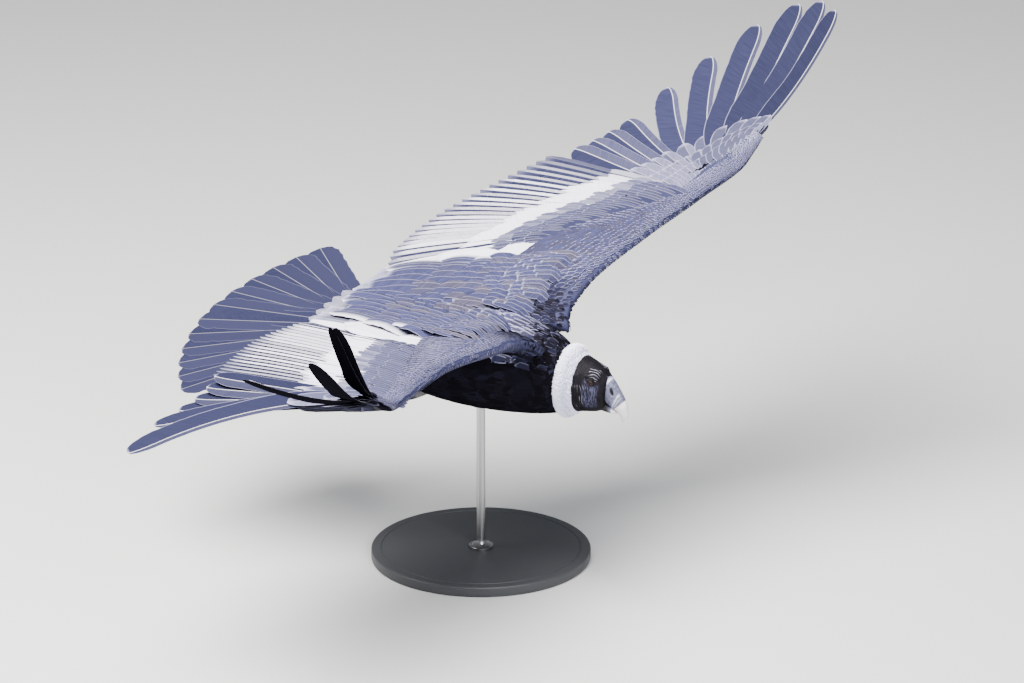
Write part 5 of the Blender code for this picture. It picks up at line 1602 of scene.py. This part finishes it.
class CONDOR_OT_coat(bpy.types.Operator):
    """Small feathers over the back, breast, belly and both sides of the wings"""
    bl_idname = "condor.coat"
    bl_label = "Small feathers"

    def execute(self, context):
        p = context.scene.condor_plumage
        slate = vane_finish("small_feathers", p, scaled_webs(p), 0.80, 0.72, barbs=0.6, tip_from=0.80,
                            below=(p.slate, p.fringe), fade=True)
        dark = vane_finish("dark_feathers", p, scaled_webs(p), 0.05, 0.80, barbs=0.6, fade=True)
        leaf = feather_template("leaf", LEAF_ROWS, 0.03, 0.0, 0.014)
        for wing in map(Wing, SIDES):
            self.wing_top(wing, leaf, slate, p)
            self.wing_under(wing, leaf, dark, p)
        self.body("coat_back", leaf, slate, p, True)
        self.body("coat_belly", leaf, dark, p, False)
        bpy.data.objects.remove(leaf)
        return {"FINISHED"}

    def wing_top(self, wing, leaf, finish, p):
        """Rows of small coverts, from under the leading edge over it and back to the long ones."""
        draw = np.random.default_rng(SEED + 10 + wing.side)
        places = staggered(*WING_TOP)
        share, s = places[:, 0], 0.02 + 1.96 * places[:, 1]
        share = np.clip(share + draw.uniform(-0.25, 0.25, len(share)) / WING_TOP[0], 0, 1)
        x = (0.94 + UNDER_EDGE) * share**1.2 - UNDER_EDGE
        length = p.covert_length * share_at(x, COVERT_SIZE)
        chord = np.linalg.norm(wing.rear(s) - wing.lead(s), axis=-1)
        length *= np.clip(chord / 0.19, 0.55, 1.25) * draw.uniform(0.88, 1.12, len(x))
        shoulder = window(s, -1, 0.14, 0.2) * window(x, -1, 0.35, 0.3)
        pale = np.clip(0.95 + draw.normal(0, 0.10, len(x)) - 0.75 * shoulder, 0, 1)
        for name, chosen in (("top", x >= 0), ("edge", x < 0)):
            feathers = s[chosen], x[chosen], length[chosen], pale[chosen]
            self.wing_coat(wing, name, *feathers, leaf, finish, p, draw, 1)

    def wing_under(self, wing, leaf, finish, p):
        """Black feathers on the wing's underside."""
        draw = np.random.default_rng(SEED + 20 + wing.side)
        places = staggered(*WING_UNDER)
        s = 0.02 + 1.90 * places[:, 1]
        reach = share_at(s, UNDER_REACH)
        x = 0.11 + (reach - 0.11) * places[:, 0] + draw.uniform(-0.4, 0.4, len(places)) / WING_UNDER[0]
        x = np.clip(x, 0.10, reach)
        length = p.covert_length * (1.1 + 0.9 * x) * draw.uniform(0.9, 1.12, len(x))
        length *= np.interp(s, (0.9, 1.3), (1, 0.75))
        pale = np.clip(draw.normal(0.04, 0.04, len(x)), 0, 1)
        self.wing_coat(wing, "under", s, -x, length, pale, leaf, finish, p, draw, -1)

    def wing_coat(self, wing, name, s, x, length, pale, leaf, finish, p, draw, way):
        """One piece of small feathers on the arm and hand."""
        roots, outs, aims = wing.follow(s, x, length, way)
        roots = roots - outs * ROOT_DEPTH
        if way < 0:
            flat = np.clip((-x - 0.45) / 0.25, 0, 1)[:, None]
            aims = aims * (1 - flat) + wing.lie(s) * flat
        lift = 0.24 * np.clip(np.abs(x) / 0.15, 0.5, 1)[:, None]
        stray = draw.normal(0, 0.06, aims.shape)
        aims = unit(aims + outs * lift + stray - outs * dot(stray, outs))
        sizes = np.column_stack([np.maximum(length * 0.58, 0.0068), length, length])
        (left, bottom), (right, top) = CHARTS[wing.name]
        half = (right - left) / 2 - 0.005
        across = left + np.where(x >= 0, 0, 2 * half) + x * half
        charts = np.column_stack([across, bottom + s / 2 * (top - bottom)])
        piece = coat_piece(f"coat_{wing.name}_{name}", roots, outs, aims, sizes, charts, leaf, finish,
                           p.patch, pale, draw)
        dress(piece, "dark_plumage" if way < 0 else "grey_plumage")

    def body(self, name, leaf, finish, p, back):
        """Feathers of the back and nape, or of the breast, belly and flanks."""
        draw = np.random.default_rng(SEED + 30 + back)
        places = staggered(*BODY_COAT)
        s = 0.25 + RUFF_START * places[:, 0] ** 0.85
        angle = FULL_TURN * places[:, 1]
        high = np.sin(angle) > share_at(s, BACK_EDGE)
        keep = high if back else ~high
        s, angle = s[keep], angle[keep]
        s = np.clip(s + draw.uniform(-0.05, 0.05, len(s)), 0.1, RUFF_START + 0.3)
        roots, outs = trunk_at(s, angle, -COAT_DEPTH + 0.001), trunk_normal(s, angle)
        aims = unit(trunk_back(s, angle))
        aims = unit(aims + draw.normal(0, 0.09, aims.shape))
        aims = unit(aims - outs * (dot(aims, outs) - (0.18 if back else 0.12)))
        neck = np.clip((s - 5.0) / 3.0, 0, 1)
        length = p.body_length * (1.10 - 0.62 * neck) * draw.uniform(0.85, 1.15, len(s))
        if not back:
            length *= 1 + 0.9 * window(s, 7.7, 9, 0.3) * (np.sin(angle) < -0.93)
        sizes = np.column_stack([length * 0.58, length, length * 1.1])
        if back:
            pale = 0.92 - 0.92 * np.clip((s - 5.4) / 1.5, 0, 1) + draw.normal(0, 0.22, len(s))
        else:
            pale = draw.normal(0.03, 0.03, len(s))
        piece = coat_piece(name, roots, outs, aims, sizes, trunk_chart(s, angle), leaf, finish, p.patch,
                           np.clip(pale, 0, 1), draw)
        dress(piece, "dark_plumage")


class CONDOR_OT_ruff(bpy.types.Operator):
    """White down that stands round the neck as a soft roll"""
    bl_idname = "condor.ruff"
    bl_label = "Ruff"

    def execute(self, context):
        p = context.scene.condor_plumage
        draw = np.random.default_rng(SEED + 40)
        places = staggered(*RUFF_COAT)
        rows, in_a_row = RUFF_COAT[0], RUFF_COAT[1][0]
        share = np.clip(places[:, 0] + draw.uniform(-0.6, 0.6, len(places)) / rows, 0, 1)
        angle = FULL_TURN * (places[:, 1] + draw.uniform(-0.3, 0.3, len(places)) / in_a_row)
        s = RUFF_START + 0.05 + (HEAD_START + 0.01 - RUFF_START) * share
        swell = np.sin(math.pi * share)
        roots = trunk_at(s, angle, -COAT_DEPTH + 0.001 + (RUFF_ROLL - 0.002) * swell)
        outs, back = trunk_normal(s, angle), unit(trunk_back(s, angle))
        roll = (-0.75 + 1.9 * (1 - share))[:, None]
        aims = unit(outs * (0.30 + 0.25 * swell)[:, None] + back * roll + draw.normal(0, 0.20, outs.shape))
        up = unit(outs + back * -0.3)
        length = p.lock_length * draw.uniform(0.75, 1.15, len(s)) * (0.85 + 0.30 * swell)
        sizes = np.column_stack([length * 0.36, length, length * 1.6])
        lock = feather_template("lock", LEAF_ROWS, 0.34, 0.16, 0.16)
        pale = draw.uniform(0, 1, len(s))
        piece = coat_piece("ruff", roots, up, aims, sizes, trunk_chart(s, angle), lock, self.finish(p),
                           p.patch, pale, draw)
        bpy.data.objects.remove(lock)
        dress(piece, "white_down")
        return {"FINISHED"}

    def finish(self, p):
        made = Finish("ruff_down", Roughness=0.85, Specular_IOR_Level=0.1, Sheen_Weight=0.2)
        across, along = made.pair("Vane")
        shade = made.value("tint")
        root = made.mix(made.step(along, 0.0, 0.7), (0.42, 0.42, 0.56), p.down)
        colour = made.mix(shade * 0.30, root, (0.52, 0.52, 0.68))
        grain = made.noise(made.place(), 500)
        made.feed("Base Color", made.mix(grain * 0.15, colour, (0.90, 0.90, 1.0)))
        made.bump(grain + abs(across - 0.5) * 0.3, 0.3, 0.001)
        return made.material


class CONDOR_OT_legs(bpy.types.Operator):
    """Feathered thighs, scaled shanks and toes trailed under the tail, and their claws"""
    bl_idname = "condor.legs"
    bl_label = "Legs"

    def execute(self, context):
        p = context.scene.condor_plumage
        skin, horn = self.skin_finish(), self.claw_finish()
        dark = vane_finish("thigh_feathers", p, scaled_webs(p), 0.05, 0.8, barbs=0.6)
        leaf = feather_template("thigh_leaf", LEAF_ROWS, 0.06, 0.02, 0.03)
        thigh, thigh_radii = map(np.array, zip(*THIGH))
        shank, shank_radii = map(np.array, zip(*SHANK))
        for name, side in SIDES.items():
            sided = np.array([1, side, 1])
            radii = thigh_radii - THIGH_COVER
            leg = self.limb(f"leg_{name}_thigh", thigh * sided, radii, 24, 28, skin, False)
            dress(leg, "foot_skin", f"leg_{name}")
            dress(self.limb(f"leg_{name}_shank", shank * sided, shank_radii, 60, 26, skin, True), "foot_skin")
            for i, toe in enumerate(TOES):
                self.toe(f"{name}_{i}", shank[-1] * sided, toe, side, skin, horn)
            self.thigh_coat(name, thigh * sided, thigh_radii, leaf, dark, p)
        bpy.data.objects.remove(leaf)
        return {"FINISHED"}

    def limb(self, name, line, radii, rows, columns, finish, scaled):
        """A tube along a smooth curve through a few points."""
        t = np.linspace(0, len(line) - 1, rows)
        points, thick = smooth(t, range(len(line)), line), smooth(t, range(len(line)), radii)
        return self.tube(name, points, thick, columns, finish, scaled)

    def tube(self, name, line, radii, columns, finish, scaled):
        """A limb with raised plates across its upper and lower side where it is scaled."""
        rings = tube_rings(line, radii, columns)
        if scaled:
            plate = np.where(np.arange(len(line)) % 4 == 0, -0.0006, 0.0002)
            across = np.abs(np.sin(circle(columns)))
            rings = rings + unit(rings - line[:, None]) * (plate[:, None] * across)[..., None]
        return loft_piece(name, rings, finish, None, None, 0)

    def toe(self, name, foot, measures, side, skin, horn):
        """One arched toe with its scales, and its claw."""
        length, turn, radius = measures
        rise, fall = TOE_ARCH
        way = direction((turn - 90) * DEG, -TOE_FALL, side)
        t = np.linspace(-0.05, 1, TOE_RINGS)[:, None]
        line = foot + length * (way * t + UP * (rise * t - fall * t * t))
        split = int(TOE_RINGS * (CLAW_SHARE + 0.05))
        thick = radius * share_at(t[:, 0], TOE_TAPER)
        dress(self.tube(f"toe_{name}", line[:split], thick[:split], 20, skin, True), "foot_skin")
        start = split - 6
        hook = radius * share_at(t[:, 0], CLAW_TAPER)
        dress(self.tube(f"claw_{name}", line[start:], hook[start:], 16, horn, False), "bill_horn")

    def thigh_coat(self, name, line, radii, leaf, finish, p):
        """Black feathers that hang from the thigh over its joint."""
        draw = np.random.default_rng(SEED + 50 + len(name))
        places = staggered(*THIGH_COAT)
        t, angle = places[:, 0] * (len(line) - 1.25), FULL_TURN * places[:, 1]
        centre, before, after = (smooth(t + step, range(len(line)), line) for step in (0, -0.05, 0.05))
        way = unit(after - before)
        aside, up = cross_ways(way)
        outs = aside * np.cos(angle)[:, None] + up * np.sin(angle)[:, None]
        roots = centre + outs * (smooth(t, range(len(line)), radii)[:, None] - 0.005)
        aims = unit(way + outs * 0.10 + draw.normal(0, 0.06, way.shape))
        length = p.body_length * 0.75 * draw.uniform(0.85, 1.1, len(t))
        sizes = np.column_stack([length * 0.55, length, length])
        charts = 0.2 + 0.05 * places[:, ::-1]
        pale = np.clip(draw.normal(0.04, 0.03, len(t)), 0, 1)
        piece = coat_piece(f"coat_thigh_{name}", roots, outs, aims, sizes, charts, leaf, finish, p.patch,
                           pale, draw)
        dress(piece, "dark_plumage")

    def skin_finish(self):
        made = Finish("foot_skin", Roughness=0.6)
        place = made.place()
        grain = made.noise(place, 300, 3.0)
        kind = {"feature": "DISTANCE_TO_EDGE"}
        edge = made.step(made.node("ShaderNodeTexVoronoi", kind, {"Vector": place, "Scale": 420}), 0.0, 0.10)
        colour = made.mix(grain, (0.085, 0.082, 0.085), (0.17, 0.165, 0.165))
        made.feed("Base Color", made.mix(edge, (0.05, 0.048, 0.05), colour))
        made.bump(edge, 0.4, 0.0006)
        return made.material

    def claw_finish(self):
        made = clouded_finish("claw_horn", (0.018, 0.016, 0.017), (0.07, 0.062, 0.06), 240, Roughness=0.32)
        return made.material


class CONDOR_OT_stand(bpy.types.Operator):
    """Turned base, brushed rod and its collar with small screws"""
    bl_idname = "condor.stand"
    bl_label = "Stand"

    def execute(self, context):
        st = context.scene.condor_stand
        turn = np.linspace(0, math.pi / 2, 7)
        ins, rise = st.bevel * (1 - np.sin(turn)), st.bevel * (1 - np.cos(turn))
        low, high = zip(BASE_RADIUS - ins, rise), zip(BASE_RADIUS - rise, BASE_TOP - ins)
        groove = [(BASE_RADIUS - inset, BASE_TOP - depth) for inset, depth in GROOVE]
        profile = [(BASE_CORE, 0), *low, *high, *groove, (BASE_CORE, BASE_TOP)]
        base = self.turned_piece("stand_base_disc", profile, BASE_SIDES, self.paint(st))
        dress(base, "stand_paint", "stand_base")
        collar = [(radius, BASE_TOP + height) for radius, height in COLLAR]
        shaft = [(ROD_RADIUS, z) for z in np.linspace(BASE_TOP + 0.02, ROD_TOP, ROD_RINGS)]
        steel = self.steel(st)
        rod = self.turned_piece("stand_rod_steel", collar + shaft, ROD_SIDES, steel)
        dress(rod, "stand_steel", "stand_rod")
        self.screws(st, steel)
        return {"FINISHED"}

    def turned_piece(self, name, profile, sides, finish):
        """A body turned round the upright axis from points (radius, height)."""
        radii, heights = (np.array(column)[:, None] for column in zip(*profile))
        turn = circle(sides)
        rings = np.stack([radii * np.cos(turn), radii * np.sin(turn), heights * np.ones(sides)], -1)
        return loft_piece(name, level(rings), finish, None, None, 35)

    def screws(self, st, steel):
        """Small cap screws set round the collar."""
        tree, given = start_tree("screws", {"Mesh": "Geometry", "Screws": "Int", "Ring": "Float",
                                            "Height": "Float", "Finish": "Material"})
        ring = add_node(tree, "GeometryNodeMeshCircle", {},
                        {"Vertices": given["Screws"], "Radius": given["Ring"]})
        cap = add_node(tree, "GeometryNodeMeshCylinder", {}, SCREW_HEAD)
        placed = add_node(tree, "GeometryNodeInstanceOnPoints", {},
                          {"Points": ring.outputs[0], "Instance": cap.outputs[0]})
        high = add_node(tree, "ShaderNodeCombineXYZ", {}, {"Z": given["Height"]})
        lifted = add_node(tree, "GeometryNodeTransform", {},
                          {"Geometry": placed.outputs[0], "Translation": high.outputs[0]})
        real = add_node(tree, "GeometryNodeRealizeInstances", {}, {0: lifted.outputs[0]})
        end_tree(tree, real.outputs[0], given["Finish"])
        obj = linked("stand_screws", bpy.data.meshes.new("stand_screws"))
        values = {"Screws": st.screws, "Ring": SCREW_RING, "Height": BASE_TOP + SCREW_HEIGHT, "Finish": steel}
        run_tree(obj, tree, values)
        dress(obj, "stand_steel")

    def paint(self, st):
        made = clouded_finish("stand_paint_finish", st.paint, (0.050, 0.051, 0.055), 14, 0.5, 3.0,
                              rough=(0.42, 0.16), Roughness=0.5)
        made.bump(made.noise(made.place(), 900), 0.15, 0.0003)
        return made.material

    def steel(self, st):
        made = clouded_finish("stand_steel_finish", st.steel, (0.40, 0.40, 0.41), 1.0,
                              stretch=(1200, 1200, 30), rough=(0.24, 0.14), Metallic=1.0, Roughness=0.3)
        return made.material


class CONDOR_OT_studio(bpy.types.Operator):
    """Pale floor, soft lights and the camera"""
    bl_idname = "condor.studio"
    bl_label = "Studio"

    def execute(self, context):
        st = context.scene.condor_studio
        self.floor(st)
        sky_light = bpy.data.worlds.new("studio")
        context.scene.world = sky_light
        sky_light.use_nodes = True
        sky = sky_light.node_tree.nodes["Background"]
        sky.inputs["Color"].default_value = (0.86, 0.92, 1.0, 1)
        sky.inputs["Strength"].default_value = st.sky
        right = np.array([math.cos(VIEW_AZIMUTH), math.sin(VIEW_AZIMUTH), 0])
        back = np.cross(right, UP) * math.cos(VIEW_ELEVATION) + UP * math.sin(VIEW_ELEVATION)
        self.light("key", (-1.5, 0.8, 4.2), 3.6, st.key, (1.0, 0.98, 0.96))
        self.light("fill", BODY + back * 4.5 + right * 1.5 + (0, 0, 0.8), 2.5, st.fill, (0.93, 0.96, 1.0))
        data = bpy.data.cameras.new("camera")
        data.lens, data.sensor_width, data.clip_end = VIEW_LENS, SENSOR, VIEW_END
        camera = linked("camera", data)
        camera.location = BODY + right * VIEW_ASIDE + back * VIEW_DISTANCE
        camera.rotation_euler = Vector(back).to_track_quat("Z", "Y").to_euler()
        context.scene.camera = camera
        return {"FINISHED"}

    def floor(self, st):
        made = clouded_finish("floor_finish", st.floor, (0.66, 0.66, 0.65), 0.6, 0.3, Roughness=0.85)
        mesh = bpy.data.meshes.new("floor")
        a, z = FLOOR_REACH, -FLOOR_DROP
        mesh.from_pydata([(-a, -a, z), (a, -a, z), (a, a, z), (-a, a, z)], [], [(0, 1, 2, 3)])
        mesh.materials.append(made.material)
        linked("floor", mesh)

    def light(self, name, place, size, power, colour):
        """A soft square light that shines on the bird."""
        data = bpy.data.lights.new(name, "AREA")
        data.size, data.energy, data.color = size, power, colour
        lamp = linked(name, data)
        lamp.location = place
        lamp.rotation_euler = (Vector(place) - Vector(BODY)).to_track_quat("Z", "Y").to_euler()


class CONDOR_PT_panel(bpy.types.Panel):
    """Lists the condor's pieces in the sidebar"""
    bl_label = "Condor"
    bl_space_type = "VIEW_3D"
    bl_region_type = "UI"
    bl_category = "Condor"

    def draw(self, context):
        for operator in OPERATORS:
            self.layout.operator(operator.bl_idname)
        for group in SETTINGS:
            for key in SETTINGS[group].__annotations__:
                self.layout.prop(getattr(context.scene, group), key)


SETTINGS = {
    "condor_plumage": PlumageSettings,
    "condor_head": HeadSettings,
    "condor_stand": StandSettings,
    "condor_studio": StudioSettings,
}
OPERATORS = (CONDOR_OT_skin, CONDOR_OT_eyes, CONDOR_OT_bill, CONDOR_OT_flight, CONDOR_OT_mantle,
             CONDOR_OT_coat, CONDOR_OT_ruff, CONDOR_OT_legs, CONDOR_OT_stand, CONDOR_OT_studio)
CLASSES = (*SETTINGS.values(), *OPERATORS, CONDOR_PT_panel)


def register():
    for made in CLASSES:
        bpy.utils.register_class(made)
    for name, kind in SETTINGS.items():
        setattr(bpy.types.Scene, name, PointerProperty(type=kind))


def unregister():
    for name in SETTINGS:
        delattr(bpy.types.Scene, name)
    for made in reversed(CLASSES):
        bpy.utils.unregister_class(made)


def main():
    """Registers the add-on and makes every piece."""
    register()
    bpy.ops.condor.skin()
    bpy.ops.condor.eyes()
    bpy.ops.condor.bill()
    bpy.ops.condor.flight()
    bpy.ops.condor.mantle()
    bpy.ops.condor.coat()
    bpy.ops.condor.ruff()
    bpy.ops.condor.legs()
    bpy.ops.condor.stand()
    bpy.ops.condor.studio()


if __name__ == "__main__":
    main()
